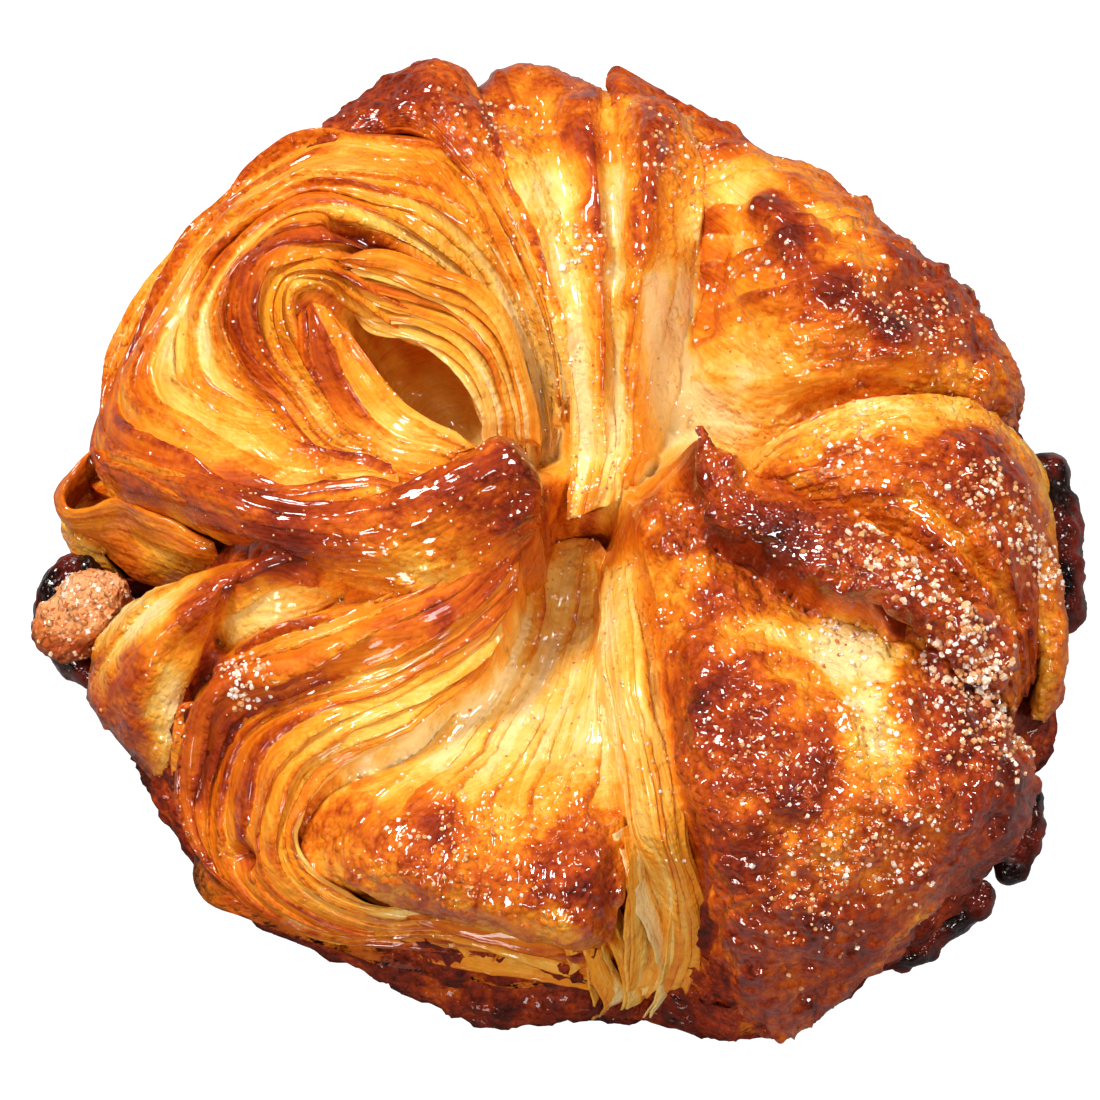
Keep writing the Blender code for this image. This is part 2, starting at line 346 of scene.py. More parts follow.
def add_group(nodes: Nodes, group: bpy.types.NodeTree, **values: float) -> bpy.types.Node:
    """Places a node group in a material with its own values."""
    node = nodes.add("ShaderNodeGroup")
    node.node_tree = group
    nodes.fill(node, **values)
    return node


def blank_material(name: str) -> tuple[bpy.types.Material, Nodes, bpy.types.Node]:
    """Makes a material with one Principled shader.

    Args:
        name: the material's name.

    Returns:
        The material, its node helper and its shader.
    """
    material = bpy.data.materials.new(name)
    material.use_nodes = True
    shader = material.node_tree.nodes["Principled BSDF"]
    return material, Nodes(material.node_tree), shader


@dataclass(frozen=True)
class DoughFinish:
    """Baked laminated dough, from pale and buttery to burnt, under a clear sugar glaze."""

    name: str
    coat: float = 1.0
    coat_roughness: float = 0.045
    bump: float = 0.0003
    # How much deep grooves are paled: paler unbaked inner dough, and painted light that lifts the shade in
    # them.
    groove_pale_and_painted_light: float = -0.08
    beads: float = 0.6
    stops: tuple[tuple[float, Point], ...] = (
        (0.0, (0.84, 0.60, 0.25)),
        (0.16, (0.83, 0.47, 0.085)),
        (0.32, (0.78, 0.285, 0.016)),
        (0.47, (0.64, 0.145, 0.004)),
        (0.60, (0.46, 0.066, 0.002)),
        (0.72, (0.27, 0.024, 0.002)),
        (0.85, (0.14, 0.011, 0.002)),
        (1.0, (0.05, 0.006, 0.003)),
    )

    def build(self) -> bpy.types.Material:
        """Makes the material."""
        material, nodes, shader = blank_material(self.name)
        browning = nodes.attribute("browning").outputs["Fac"]
        groove = nodes.attribute("groove").outputs["Fac"]
        wet = nodes.attribute("wetness").outputs["Fac"]
        crust = nodes.attribute("crust").outputs["Fac"]
        flow = nodes.attribute("flow").outputs["Vector"]
        place = nodes.add("ShaderNodeTexCoord").outputs["Object"]
        glaze = add_group(nodes, glaze_group(), Scale=1.0)
        nodes.link(nodes.math("ADD", nodes.math("MULTIPLY", crust, self.beads), 0.3), glaze.inputs["Beads"])
        stretched = nodes.add("ShaderNodeVectorMath", operation="MULTIPLY")
        stretched.inputs[1].default_value = (0.18, 2.6, 1.0)
        nodes.link(flow, stretched.inputs[0])
        streaks = nodes.noise(stretched.outputs[0], 1.0, 3.0)
        smooth = nodes.math("SUBTRACT", 1.0, crust)
        weight = nodes.math("MULTIPLY", smooth, 0.30)
        streak = nodes.math("MULTIPLY", nodes.math("SUBTRACT", streaks, 0.5), weight)
        mottle = nodes.noise(place, 300.0, 4.0)
        weight = nodes.math("ADD", nodes.math("MULTIPLY", crust, 0.40), 0.16)
        cloud = nodes.math("MULTIPLY", nodes.math("SUBTRACT", mottle, 0.5), weight)
        grain = nodes.noise(place, 1200.0, 2.0)
        weight = nodes.math("ADD", nodes.math("MULTIPLY", crust, 0.28), 0.06)
        speck = nodes.math("MULTIPLY", nodes.math("SUBTRACT", grain, 0.5), weight)
        shade = nodes.math("ADD", nodes.math("ADD", browning, streak), nodes.math("ADD", cloud, speck))
        # Deep grooves between layers are paled: partly the paler unbaked dough inside, partly painted light
        # lifting the shade there.
        shade = nodes.math("ADD", shade, nodes.math("MULTIPLY", groove, self.groove_pale_and_painted_light))
        colour = nodes.ramp(self.stops)
        nodes.link(shade, colour.inputs["Fac"])
        nodes.link(colour.outputs["Color"], shader.inputs["Base Color"])
        spread = nodes.math("ADD", nodes.math("MULTIPLY", glaze.outputs["Wetness"], 0.5), 0.55)
        coat = nodes.math("MULTIPLY", wet, spread)
        coat = nodes.math("MINIMUM", nodes.math("MULTIPLY", coat, self.coat), 1.0)
        nodes.link(coat, shader.inputs["Coat Weight"])
        nodes.fill(shader, Coat_Roughness=self.coat_roughness, Coat_IOR=1.62, Specular_IOR_Level=0.12)
        dry = nodes.math("MULTIPLY", glaze.outputs["Wetness"], -0.16)
        nodes.link(nodes.math("ADD", dry, 0.55), shader.inputs["Roughness"])
        height = nodes.math("ADD", glaze.outputs["Height"], nodes.math("MULTIPLY", streaks, 0.30))
        height = nodes.math("ADD", height, nodes.math("MULTIPLY", nodes.math("MULTIPLY", grain, crust), 0.4))
        nodes.bump(height, self.bump, shader)
        return material


CRUMB_STOPS = (
    (0.0, (0.84, 0.44, 0.22)),
    (0.3, (0.76, 0.29, 0.10)),
    (0.5, (0.60, 0.15, 0.03)),
    (0.7, (0.42, 0.07, 0.01)),
    (0.85, (0.22, 0.025, 0.005)),
    (1.0, (0.08, 0.010, 0.004)),
)


@dataclass(frozen=True)
class CaramelFinish:
    """Burnt caramel: nearly black, glassy, with redder thin places."""

    name: str = "burnt_caramel_glass"
    dark: Point = (0.010, 0.002, 0.001)
    red: Point = (0.16, 0.012, 0.004)
    bump: float = 0.0003

    def build(self) -> bpy.types.Material:
        """Makes the material."""
        material, nodes, shader = blank_material(self.name)
        glaze = add_group(nodes, glaze_group(), Scale=0.8, Beads=0.8)
        patches = nodes.noise(nodes.add("ShaderNodeTexCoord").outputs["Object"], 260.0, 3.0)
        colour = nodes.ramp(((0.42, self.dark), (0.68, self.red)))
        nodes.link(patches, colour.inputs["Fac"])
        nodes.link(colour.outputs["Color"], shader.inputs["Base Color"])
        rough = nodes.math("MULTIPLY", glaze.outputs["Wetness"], -0.1)
        nodes.link(nodes.math("ADD", rough, 0.3), shader.inputs["Roughness"])
        nodes.link(glaze.outputs["Wetness"], shader.inputs["Coat Weight"])
        nodes.fill(shader, Coat_Roughness=0.05, Specular_IOR_Level=0.15)
        nodes.bump(glaze.outputs["Height"], self.bump, shader)
        return material


@dataclass(frozen=True)
class SugarFinish:
    """Sugar grains: from amber under the glaze to nearly white."""

    name: str = "sugar_grain"
    amber: Point = (0.48, 0.11, 0.015)
    honey: Point = (0.82, 0.42, 0.16)
    white: Point = (0.96, 0.88, 0.80)

    def build(self) -> bpy.types.Material:
        """Makes the material."""
        material, nodes, shader = blank_material(self.name)
        tint = nodes.attribute("tint").outputs["Fac"]
        place = nodes.add("ShaderNodeTexCoord").outputs["Object"]
        uneven = nodes.math("MULTIPLY", nodes.math("SUBTRACT", nodes.noise(place, 2500.0, 1.0), 0.5), 0.4)
        colour = nodes.ramp(((0.0, self.amber), (0.45, self.honey), (1.0, self.white)))
        nodes.link(nodes.math("ADD", tint, uneven), colour.inputs["Fac"])
        nodes.link(colour.outputs["Color"], shader.inputs["Base Color"])
        nodes.fill(shader, Roughness=0.35, Coat_Weight=1.0, Coat_Roughness=0.05)
        return material


@dataclass(frozen=True)
class FloorFinish:
    """The studio floor: plain and nearly white."""

    name: str = "studio_floor"
    glow: float = 1.0

    def build(self) -> bpy.types.Material:
        """Makes the material."""
        material, nodes, shader = blank_material(self.name)
        grain = nodes.add("ShaderNodeTexNoise")
        grain.inputs["Scale"].default_value = 40.0
        place = nodes.add("ShaderNodeTexCoord")
        nodes.link(place.outputs["Object"], grain.inputs["Vector"])
        colour = nodes.ramp(((0.0, (0.19, 0.19, 0.19)), (1.0, (0.21, 0.21, 0.21))))
        nodes.link(grain.outputs["Fac"], colour.inputs["Fac"])
        nodes.link(colour.outputs["Color"], shader.inputs["Base Color"])
        nodes.fill(shader, Roughness=0.9, Emission_Color=(*WHITE, 1.0))
        seen = nodes.add("ShaderNodeLightPath").outputs["Is Camera Ray"]
        nodes.link(nodes.math("MULTIPLY", seen, self.glow), shader.inputs["Emission Strength"])
        return material


# --- leaves of dough ----------------------------------------------------------------


@dataclass(frozen=True)
class Leaf:
    """One folded sheet of dough between guide lines, in millimetres.

    The guides all run the same way and have the same number of stations. The leaf passes
    through them in order, and between two guides its skin shows as many layer edges as
    layers says.
    """

    name: str
    guides: tuple[Line, ...]
    layers: tuple[float, ...]
    browns: tuple[float, ...]
    runs: tuple[float, ...] = (0.0, 0.0)
    lip: float = 0.35
    thickness: float = 5.0
    swell: float = 0.35
    rough: float = 0.10
    wet: float = 0.8
    along: float = 0.5
    across: float = 0.18
    wander: float = 0.8
    fine: float = 4.0
    fine_lip: float = 0.10
    crusts: tuple[float, ...] = (0.0, 0.0)
    patches: float = 0.04
    bands: float = 0.16
    fray: float = 0.0
    dive: tuple[float, float] = (0.9, 0.9)
    feet: tuple[float, float] = (0.0, 0.0)
    edge: float = 0.9
    tear: float = 0.0
    seed: int = 0

    def lines(self) -> np.ndarray:
        """The guides as an array, with a foot added at each end that stands on the rim."""
        lines = np.array(self.guides, dtype=float)
        for end, foot in enumerate(self.feet):
            if foot:
                tip, inner = (lines[:, -1], lines[:, -2]) if end else (lines[:, 0], lines[:, 1])
                away = (tip - inner) * (1.0, 1.0, 0.0)
                toe = tip - unit(away) * 0.9
                toe[:, 2] = foot
                toe[[0, -1], 2] += 5.0
                toe[[1, -2], 2] += 1.5
                toe[:, 2] = np.minimum(toe[:, 2], tip[:, 2] - 1.0)
                waist = tip + unit(away) * 0.9
                waist[:, 2] = 0.5 * (tip[:, 2] + toe[:, 2])
                skirt = (waist[:, None], toe[:, None]) if end else (toe[:, None], waist[:, None])
                parts = (lines, *skirt) if end else (*skirt, lines)
                lines = np.concatenate(parts, axis=1)
        return lines


@dataclass
class Skin:
    """A leaf's finished top: places, outward directions and the numbers its finish reads."""

    places: np.ndarray
    outward: np.ndarray
    browning: np.ndarray
    groove: np.ndarray
    wetness: np.ndarray
    crust: np.ndarray
    flow: np.ndarray


@dataclass(frozen=True)
class Pit:
    """An oval hollow pressed into the core, in millimetres and degrees."""

    x: float
    y: float
    length: float
    width: float
    turn: float
    depth: float


@dataclass(frozen=True)
class Stain:
    """A browned, burnt or pale place of the crust, seen from above, in millimetres."""

    x: float
    y: float
    radius: float
    amount: float


def stained(stains: tuple[Stain, ...], x: np.ndarray, y: np.ndarray) -> np.ndarray:
    """How much the stains add to the browning at each place, with ragged rims."""
    ragged = 0.75 * ripples(x / 2.4, y / 2.4, 3.5, 77, 4)
    total = np.zeros(np.shape(x))
    for stain in stains:
        off = np.hypot(x - stain.x, y - stain.y) / stain.radius + ragged
        total = total + stain.amount * (1 - smooth_step((off - 0.55) / 0.8))
    return total


@dataclass(frozen=True)
class Crease:
    """A valley, or with a negative depth a fold, drawn over the leaves from above, in millimetres; its brown
    is real browning on folds and painted shade in deep valleys, and pales the dough where negative.
    """

    path: tuple[tuple[float, float], ...]
    width: float
    depth: float
    # Browning added along the crease: real browning on folds, painted shade in deep valleys, paler dough
    # where negative.
    brown: float

    def weight(self, x: np.ndarray, y: np.ndarray) -> np.ndarray:
        """How strongly the crease acts at each place, from 0 to 1."""
        nearest = np.full(x.shape, 1e6)
        corners = np.array(self.path)
        for start, end in zip(corners[:-1], corners[1:]):
            along = end - start
            share = ((x - start[0]) * along[0] + (y - start[1]) * along[1]) / (along @ along)
            share = np.clip(share, 0, 1)
            away = np.hypot(x - start[0] - share * along[0], y - start[1] - share * along[1])
            nearest = np.minimum(nearest, away)
        wavering = nearest + 0.35 * self.width * noise(x / 2.5, y / 2.5, 7.5, 91)
        return np.exp(-((wavering / self.width) ** 2))


class Ground:
    """The leaves' heights and browning seen from above, spread into the gaps between them."""

    cell: float = 0.5
    half: float = 57.0
    passes: int = 260
    soft_passes: int = 10
    most_softened: float = 0.3
    unknown_height: float = 6.0
    unknown_brown: float = 0.4

    def __init__(self) -> None:
        """Starts with nothing known."""
        side = int(2 * self.half / self.cell) + 1
        self.height = np.full((side, side), -1.0)
        self.brown = np.zeros((side, side))
        self.count = np.zeros((side, side))

    def index(self, x: np.ndarray, y: np.ndarray) -> tuple[np.ndarray, np.ndarray]:
        """Row and column of each place."""
        last = len(self.height) - 1
        row = np.clip(np.rint((y + self.half) / self.cell).astype(int), 0, last)
        column = np.clip(np.rint((x + self.half) / self.cell).astype(int), 0, last)
        return row, column

    def add(self, skin: Skin) -> None:
        """Takes in one leaf."""
        x, y, z = (skin.places[..., axis].ravel() for axis in range(3))
        where = self.index(x, y)
        np.maximum.at(self.height, where, z)
        np.add.at(self.brown, where, skin.browning.ravel())
        np.add.at(self.count, where, 1.0)

    def spread(self, values: np.ndarray, start: float) -> np.ndarray:
        """Fills the unknown cells smoothly from the known ones."""
        known = self.height > 0
        filled = np.where(known, values, start)
        for _ in range(self.passes):
            padded = np.pad(filled, 1, mode="edge")
            mean = (padded[:-2, 1:-1] + padded[2:, 1:-1] + padded[1:-1, :-2] + padded[1:-1, 2:]) / 4
            filled = np.where(known, values, mean)
        return filled

    def finish(self) -> None:
        """Fills both maps, and makes a softened height map and one of how covered each place is."""
        covered = self.height > 0
        self.brown = self.spread(self.brown / np.maximum(self.count, 1), self.unknown_brown)
        self.height = self.spread(self.height, self.unknown_height)
        self.soft = np.minimum(self.blur(self.height), self.height + self.most_softened)
        self.cover = self.blur(covered.astype(float))

    def blur(self, values: np.ndarray) -> np.ndarray:
        """Softens a map."""
        for _ in range(self.soft_passes):
            padded = np.pad(values, 1, mode="edge")
            around = padded[:-2, 1:-1] + padded[2:, 1:-1] + padded[1:-1, :-2] + padded[1:-1, 2:]
            values = values / 2 + around / 8
        return values

    def sample(self, values: np.ndarray, x: np.ndarray, y: np.ndarray) -> np.ndarray:
        """Value of a map at each place, eased between its cells."""
        last = len(values) - 1.001
        row = np.clip((y + self.half) / self.cell, 0, last)
        column = np.clip((x + self.half) / self.cell, 0, last)
        r, c = row.astype(int), column.astype(int)
        up, over = row - r, column - c
        near = values[r, c] * (1 - over) + values[r, c + 1] * over
        far = values[r + 1, c] * (1 - over) + values[r + 1, c + 1] * over
        return near * (1 - up) + far * up


def layer_profile(turn: np.ndarray, lip_place: float = 0.84) -> np.ndarray:
    """The step of one layer: a slow rise to its rounded lip, then a quick fall to the next one."""
    share = np.clip(turn / lip_place, 0, 1)
    rise = 0.45 * share + 0.55 * smooth_step(share)
    fall = np.cos(0.5 * np.pi * np.clip((turn - lip_place) / (1 - lip_place), 0, 1)) ** 2
    return np.where(turn < lip_place, rise, fall)


def rip(
    where: np.ndarray, row: float, pitches: tuple[float, float], share: float, seed: int
) -> np.ndarray:
    """How far an edge is torn back at each place along it.

    Args:
        where: distance along the edge.
        row: which row of the noise is read.
        pitches: widths of the broad and the fine rips.
        share: how strong the fine rips are beside the broad ones.
        seed: picks another pattern.

    Returns:
        The depth of the tear, from 0 to about 1.
    """
    broad, fine = (np.abs(noise(where / pitch, row, 7.5, seed + k)) for k, pitch in enumerate(pitches))
    return broad + share * fine


@dataclass
class Sheet:
    """A leaf laid plainly between its guides, as rows along it and columns across it."""

    leaf: Leaf
    seed: int
    columns: np.ndarray
    places: np.ndarray
    ahead: np.ndarray
    aside: np.ndarray
    outward: np.ndarray
    gone: np.ndarray
    wide: np.ndarray


@dataclass
class Relief:
    """The thin layers, threads, crust and blisters of a sheet, in the sheet's layout."""

    count: np.ndarray
    number: np.ndarray
    turn: np.ndarray
    step: np.ndarray
    strength: np.ndarray
    own: np.ndarray
    thread: np.ndarray
    weave: np.ndarray
    edge_on: np.ndarray
    crust: np.ndarray
    blister: np.ndarray
    pimple: np.ndarray


class LeafMaker:
    """Shapes and dresses leaves of dough."""

    samples_per_layer: int = 17
    fewest_rows: int = 24
    under_columns: int = 6
    dive_length: float = 3.0
    foot_tear: float = 4.0
    foot_reach: float = 9.0
    seeds_per_leaf: int = 17
    brown_knee: float = 0.62
    brown_squash: float = 0.55
    lowest_inside: float = 0.4

    def __init__(
        self, finish: bpy.types.Material, stains: tuple[Stain, ...], creases: tuple[Crease, ...]
    ) -> None:
        """Keeps the dough's material, the crust's stains and its creases."""
        self.finish = finish
        self.stains = stains
        self.creases = creases
        self.ground = Ground()
        self.skins: list[Skin] = []

    def columns(self, leaf: Leaf, lines: np.ndarray) -> np.ndarray:
        """Places across the leaf, counted in guides, closer together where layers are many."""
        steps = []
        for index, layers in enumerate(leaf.layers):
            gap = np.linalg.norm(lines[index + 1] - lines[index], axis=-1).max()
            count = int(max(gap / leaf.across, layers * self.samples_per_layer, 6))
            steps.append(index + np.arange(count) / count)
        return np.append(np.concatenate(steps), len(leaf.guides) - 1.0)

    def stretch(self, leaf: Leaf) -> Sheet:
        """Lays a leaf plainly between its guides and measures it."""
        guides = leaf.lines()
        stations = guides.shape[1]
        rough_line = np.linalg.norm(np.diff(guides, axis=1), axis=-1).sum(axis=1).max()
        rows = int(max(rough_line / leaf.along, self.fewest_rows))
        run = np.linspace(0, stations - 1, rows)
        lines = np.stack([spline(guide, run) for guide in guides])
        columns = self.columns(leaf, lines)
        places = np.moveaxis(spline(lines, columns), 0, 1)
        ahead = unit(np.gradient(places, axis=0))
        aside = unit(np.gradient(places, axis=1))
        outward = unit(np.cross(ahead, aside))
        if outward[..., 2].mean() < 0:
            outward = -outward
        gone = np.linalg.norm(np.diff(places, axis=0), axis=-1)
        gone = np.vstack((np.zeros((1, len(columns))), np.cumsum(gone, axis=0)))
        wide = np.linalg.norm(np.diff(places, axis=1), axis=-1)
        wide = np.hstack((np.zeros((rows, 1)), np.cumsum(wide, axis=1)))
        seed = leaf.seed * self.seeds_per_leaf
        return Sheet(leaf, seed, columns, places, ahead, aside, outward, gone, wide)

    @staticmethod
    def relief(sheet: Sheet) -> Relief:
        """Works out where a sheet's layers, threads, crust and blisters are."""
        leaf, seed, gone = sheet.leaf, sheet.seed, sheet.gone
        x, y, z = (sheet.places[..., axis] for axis in range(3))
        rows = len(gone)
        # The layers wander in long bends, in short ones and in a fine jitter.
        marks = np.concatenate(([0.0], np.cumsum(leaf.layers)))
        count = np.interp(sheet.columns, np.arange(len(marks)), marks)[None, :] * np.ones((rows, 1))
        count = count + leaf.wander * noise(gone / 15, count / 2.2, 0.5, seed)
        count = count + 0.35 * leaf.wander * noise(gone / 5.0, count / 0.9, 4.5, seed + 1)
        count = count + 0.09 * leaf.wander * noise(gone / 1.3, count, 6.5, seed + 7)
        number = np.floor(count)
        turn = count - number
        stations = np.linspace(0, len(leaf.crusts) - 1, rows)
        crust = spline(np.array(leaf.crusts, dtype=float), stations)[:, None]
        crust = np.clip(crust + 0.5 * noise(x / 3, y / 3, z / 3, seed + 13) * (crust > 0.02), 0, 1)
        strength = np.clip(0.12 + 1.9 * np.abs(noise(gone / 13, number * 7.3, 9.5, seed + 2)), 0, 1.7)
        strength = strength * (1 - 0.8 * crust)
        own = noise(number * 5.1, gone / 25, 2.5, seed + 3)
        thread = turn * leaf.fine
        weave = np.abs(noise(gone / 5, (np.floor(thread) + number * leaf.fine) * 3.7, 1.5, seed + 11))
        edge_on = 0.25 + 0.75 * smooth_step(turn * 1.4)
        blister = ripples(x / 2.8, y / 2.8, z / 2.8, seed + 5, 3)
        pimple = 0.5 - np.abs(noise(x / 0.9, y / 0.9, z / 0.9, seed + 12))
        step = layer_profile(turn)
        return Relief(
            count, number, turn, step, strength, own, thread, weave, edge_on, crust, blister, pimple
        )

    def lift(self, sheet: Sheet, relief: Relief) -> tuple[np.ndarray, np.ndarray | float]:
        """How far the skin stands off the sheet, and how much its creases brown or pale it, with painted
        shade in deep valleys.
        """
        leaf, gone, wide = sheet.leaf, sheet.gone, sheet.wide
        crust = relief.crust
        lift = leaf.lip * relief.step * relief.strength + 0.5 * leaf.lip * relief.own * (1 - crust)
        lift = lift + leaf.swell * ripples(gone / 9, wide / 5, 0.5, sheet.seed + 4, 2)
        threads = leaf.fine_lip * layer_profile(relief.thread % 1.0)
        lift = lift + threads * (0.2 + 1.8 * relief.weave) * relief.edge_on
        lift = lift + leaf.rough * (0.35 + crust) * (relief.blister + 0.4 * relief.pimple)
        crease_brown_and_shade = 0.0
        if leaf.thickness > THIN:
            for crease in self.creases:
                weight = crease.weight(sheet.places[..., 0], sheet.places[..., 1])
                lift = lift - crease.depth * weight
                # A crease's brown darkens deep valleys with painted shade, and browns or pales folds for
                # real.
                crease_brown_and_shade = crease_brown_and_shade + crease.brown * weight
        lift = lift - leaf.edge * (1 - np.sqrt(1 - (1 - self.tuck(sheet)) ** 2))
        lift = lift - leaf.dive[0] * (1 - smooth_step(gone / self.dive_length))
        lift = lift - leaf.dive[1] * (1 - smooth_step((gone[-1:] - gone) / self.dive_length))
        return lift, crease_brown_and_shade

    @staticmethod
    def tuck(sheet: Sheet) -> np.ndarray:
        """From 0 on a sheet's two sides to 1 where it no longer rounds off towards them."""
        near_edge = np.minimum(sheet.wide, sheet.wide[:, -1:] - sheet.wide)
        return np.clip(near_edge / sheet.leaf.edge, 0, 1)

    def torn(self, sheet: Sheet) -> np.ndarray:
        """Places of a sheet once its side, its end and its feet are torn."""
        leaf, seed, gone, wide = sheet.leaf, sheet.seed, sheet.gone, sheet.wide
        places = sheet.places
        if leaf.tear:
            reach = smooth_step(1 - (wide[:, -1:] - wide) / (4 * leaf.tear))
            torn = leaf.tear * reach * rip(gone, 0.5, (3.5, 1.3), 0.3, seed + 8)
            places = places - sheet.aside * torn[..., None]
        if leaf.fray:
            reach = smooth_step(1 - (gone[-1:] - gone) / (3 * leaf.fray))
            torn = leaf.fray * reach * rip(wide, 0.5, (2.6, 0.8), 0.7, seed + 14)
            places = places - sheet.ahead * torn[..., None]
        for end, foot in enumerate(leaf.feet):
            if foot:
                left = gone[-1:] - gone if end else gone
                inside = smooth_step(np.minimum(wide, wide[:, -1:] - wide) / 3.0)
                reach = smooth_step(1 - left / self.foot_reach) * inside
                torn = rip(wide, 1.5, (3.2, 0.9), 0.5, seed + 18)
                torn = (0.5 - end) * 2 * self.foot_tear * reach * torn
                places = places + sheet.ahead * torn[..., None]
        return places

    def skin(self, leaf: Leaf) -> Skin:
        """Shapes the top of a leaf and works out the numbers its finish reads.

        Args:
            leaf: the leaf's guides and sizes.

        Returns:
            The finished top, as rows along the leaf and columns across it.
        """
        sheet = self.stretch(leaf)
        relief = self.relief(sheet)
        seed, gone, turn, crust = sheet.seed, sheet.gone, relief.turn, relief.crust
        x, y, z = (sheet.places[..., axis] for axis in range(3))
        lift, crease_brown_and_shade = self.lift(sheet, relief)
        lean = 0.5 * leaf.lip * relief.step * relief.strength
        finished = self.torn(sheet) + sheet.outward * lift[..., None]
        finished = finished + sheet.aside * (lean * self.tuck(sheet))[..., None]
        edges = leaf.lip * relief.strength
        # Deep parts of each layer's step, which the finish pales: partly paler inner dough, partly painted
        # light lifting the shade in them.
        deep = np.clip((turn - 0.90) / 0.07, 0, 1) + np.clip(1 - turn / 0.08, 0, 1)
        groove = np.clip(deep, 0, 1) * np.clip(edges / 0.35, 0, 1)
        browning = np.interp(sheet.columns, np.arange(len(leaf.browns)), leaf.browns)[None, :]
        added = spline(np.array(leaf.runs, dtype=float), np.linspace(0, len(leaf.runs) - 1, len(gone)))
        # The heat catches the layers' lips, some more than others.
        baked = smooth_step((turn - 0.45) / 0.4) * np.clip(edges / 0.3, 0, 1.2)
        lips = np.clip(baked, 0, 1)
        caught = noise(gone / 9, relief.number * 3.3, 1.5, seed + 16)
        baked = baked * np.clip(0.55 + 1.3 * caught, 0.0, 1.3)
        browning = browning + added[:, None] + 0.26 * relief.own * (1 - crust) + 0.22 * baked + 0.01
        browning = browning + 0.10 * (relief.weave - 0.3) * relief.edge_on
        browning = browning + leaf.patches * np.tanh(2.5 * ripples(x / 6, y / 6, z / 6, seed + 6, 3))
        browning = browning + crust * (0.10 * relief.blister + 0.06 * relief.pimple)
        browning = browning + crease_brown_and_shade + stained(self.stains, x, y)
        bands = noise(relief.count / 2.0, gone / 22, 8.5, seed + 17)
        browning = browning + leaf.bands * bands * (1 - crust)
        browning = browning - self.brown_squash * np.maximum(browning - self.brown_knee, 0.0)
        flow = np.stack((gone, sheet.wide, np.full(gone.shape, float(leaf.seed))), axis=-1)
        wetness = leaf.wet * np.clip(0.5 + 0.6 * baked + 0.4 * crust, 0, 1.2)
        beaded = np.clip(crust + 0.8 * lips, 0, 1)
        return Skin(finished, sheet.outward, browning, groove, wetness, beaded, flow)

    def build(self, leaf: Leaf) -> bpy.types.Object:
        """Makes the closed leaf: its skin, a plain underside and its ends.

        Args:
            leaf: the leaf's guides and sizes.

        Returns:
            The finished object.
        """
        skin = self.skin(leaf)
        if leaf.thickness > THIN:
            self.ground.add(skin)
            self.skins.append(skin)
        rows, columns = skin.places.shape[:2]
        back = np.linspace(columns - 1, 0, self.under_columns + 2)[1:-1].round().astype(int)
        end = np.minimum(np.arange(rows), np.arange(rows)[::-1]) / rows
        depth = leaf.thickness * (0.12 + 0.88 * smooth_step(end / 0.08))
        down = skin.outward[:, back] * -0.55 + np.array((0.0, 0.0, -0.45))
        if leaf.thickness <= THIN:
            down = -skin.outward[:, back]
        inner = skin.places[:, back] + down * depth[:, None, None]
        inner[..., 2] = np.maximum(inner[..., 2], self.lowest_inside)
        loop = np.concatenate((skin.places, inner, skin.places[:, :1]), axis=1)
        numbers = {}
        for label in ("browning", "groove", "wetness", "crust"):
            value = getattr(skin, label)
            numbers[label] = np.concatenate((value, value[:, back], value[:, :1]), axis=1)
        flow = np.concatenate((skin.flow, skin.flow[:, back], skin.flow[:, :1]), axis=1)
        return self.rolled_grid(leaf.name, loop, numbers, flow)

    def rolled_grid(
        self, name: str, loop: np.ndarray, numbers: dict[str, np.ndarray], flow: np.ndarray
    ) -> bpy.types.Object:
        """Rolls a grid primitive into a closed tube and fills its ends.

        Args:
            name: the piece's name.
            loop: places as rows along the piece and columns round it, the last one the first again.
            numbers: the finish's numbers, in the same layout.
            flow: distance along and across the piece, in the same layout.

        Returns:
            The closed piece, smooth shaded and dressed.
        """
        rows, columns = loop.shape[:2]
        bpy.ops.object.select_all(action="DESELECT")
        bpy.ops.mesh.primitive_grid_add(x_subdivisions=rows - 1, y_subdivisions=columns - 1, size=2)
        made = added(name)
        mesh = made.data
        flat = vectors(mesh, "co")
        row = np.rint((flat[:, 0] + 1) / 2 * (rows - 1)).astype(int)
        column = np.rint((flat[:, 1] + 1) / 2 * (columns - 1)).astype(int)
        mesh.vertices.foreach_set("co", (loop[row, column] * MM).ravel())
        for label, value in numbers.items():
            write_number(mesh, label, value[row, column])
        write_flow(mesh, flow[row, column])
        dress(made, self.finish)
        bpy.ops.object.mode_set(mode="EDIT")
        bpy.ops.mesh.select_all(action="SELECT")
        bpy.ops.mesh.remove_doubles(threshold=1e-7)
        bpy.ops.mesh.select_all(action="SELECT")
        bpy.ops.mesh.fill_holes(sides=0)
        bpy.ops.mesh.select_all(action="SELECT")
        bpy.ops.mesh.normals_make_consistent(inside=False)
        bpy.ops.object.mode_set(mode="OBJECT")
        bpy.ops.object.shade_smooth()
        return made


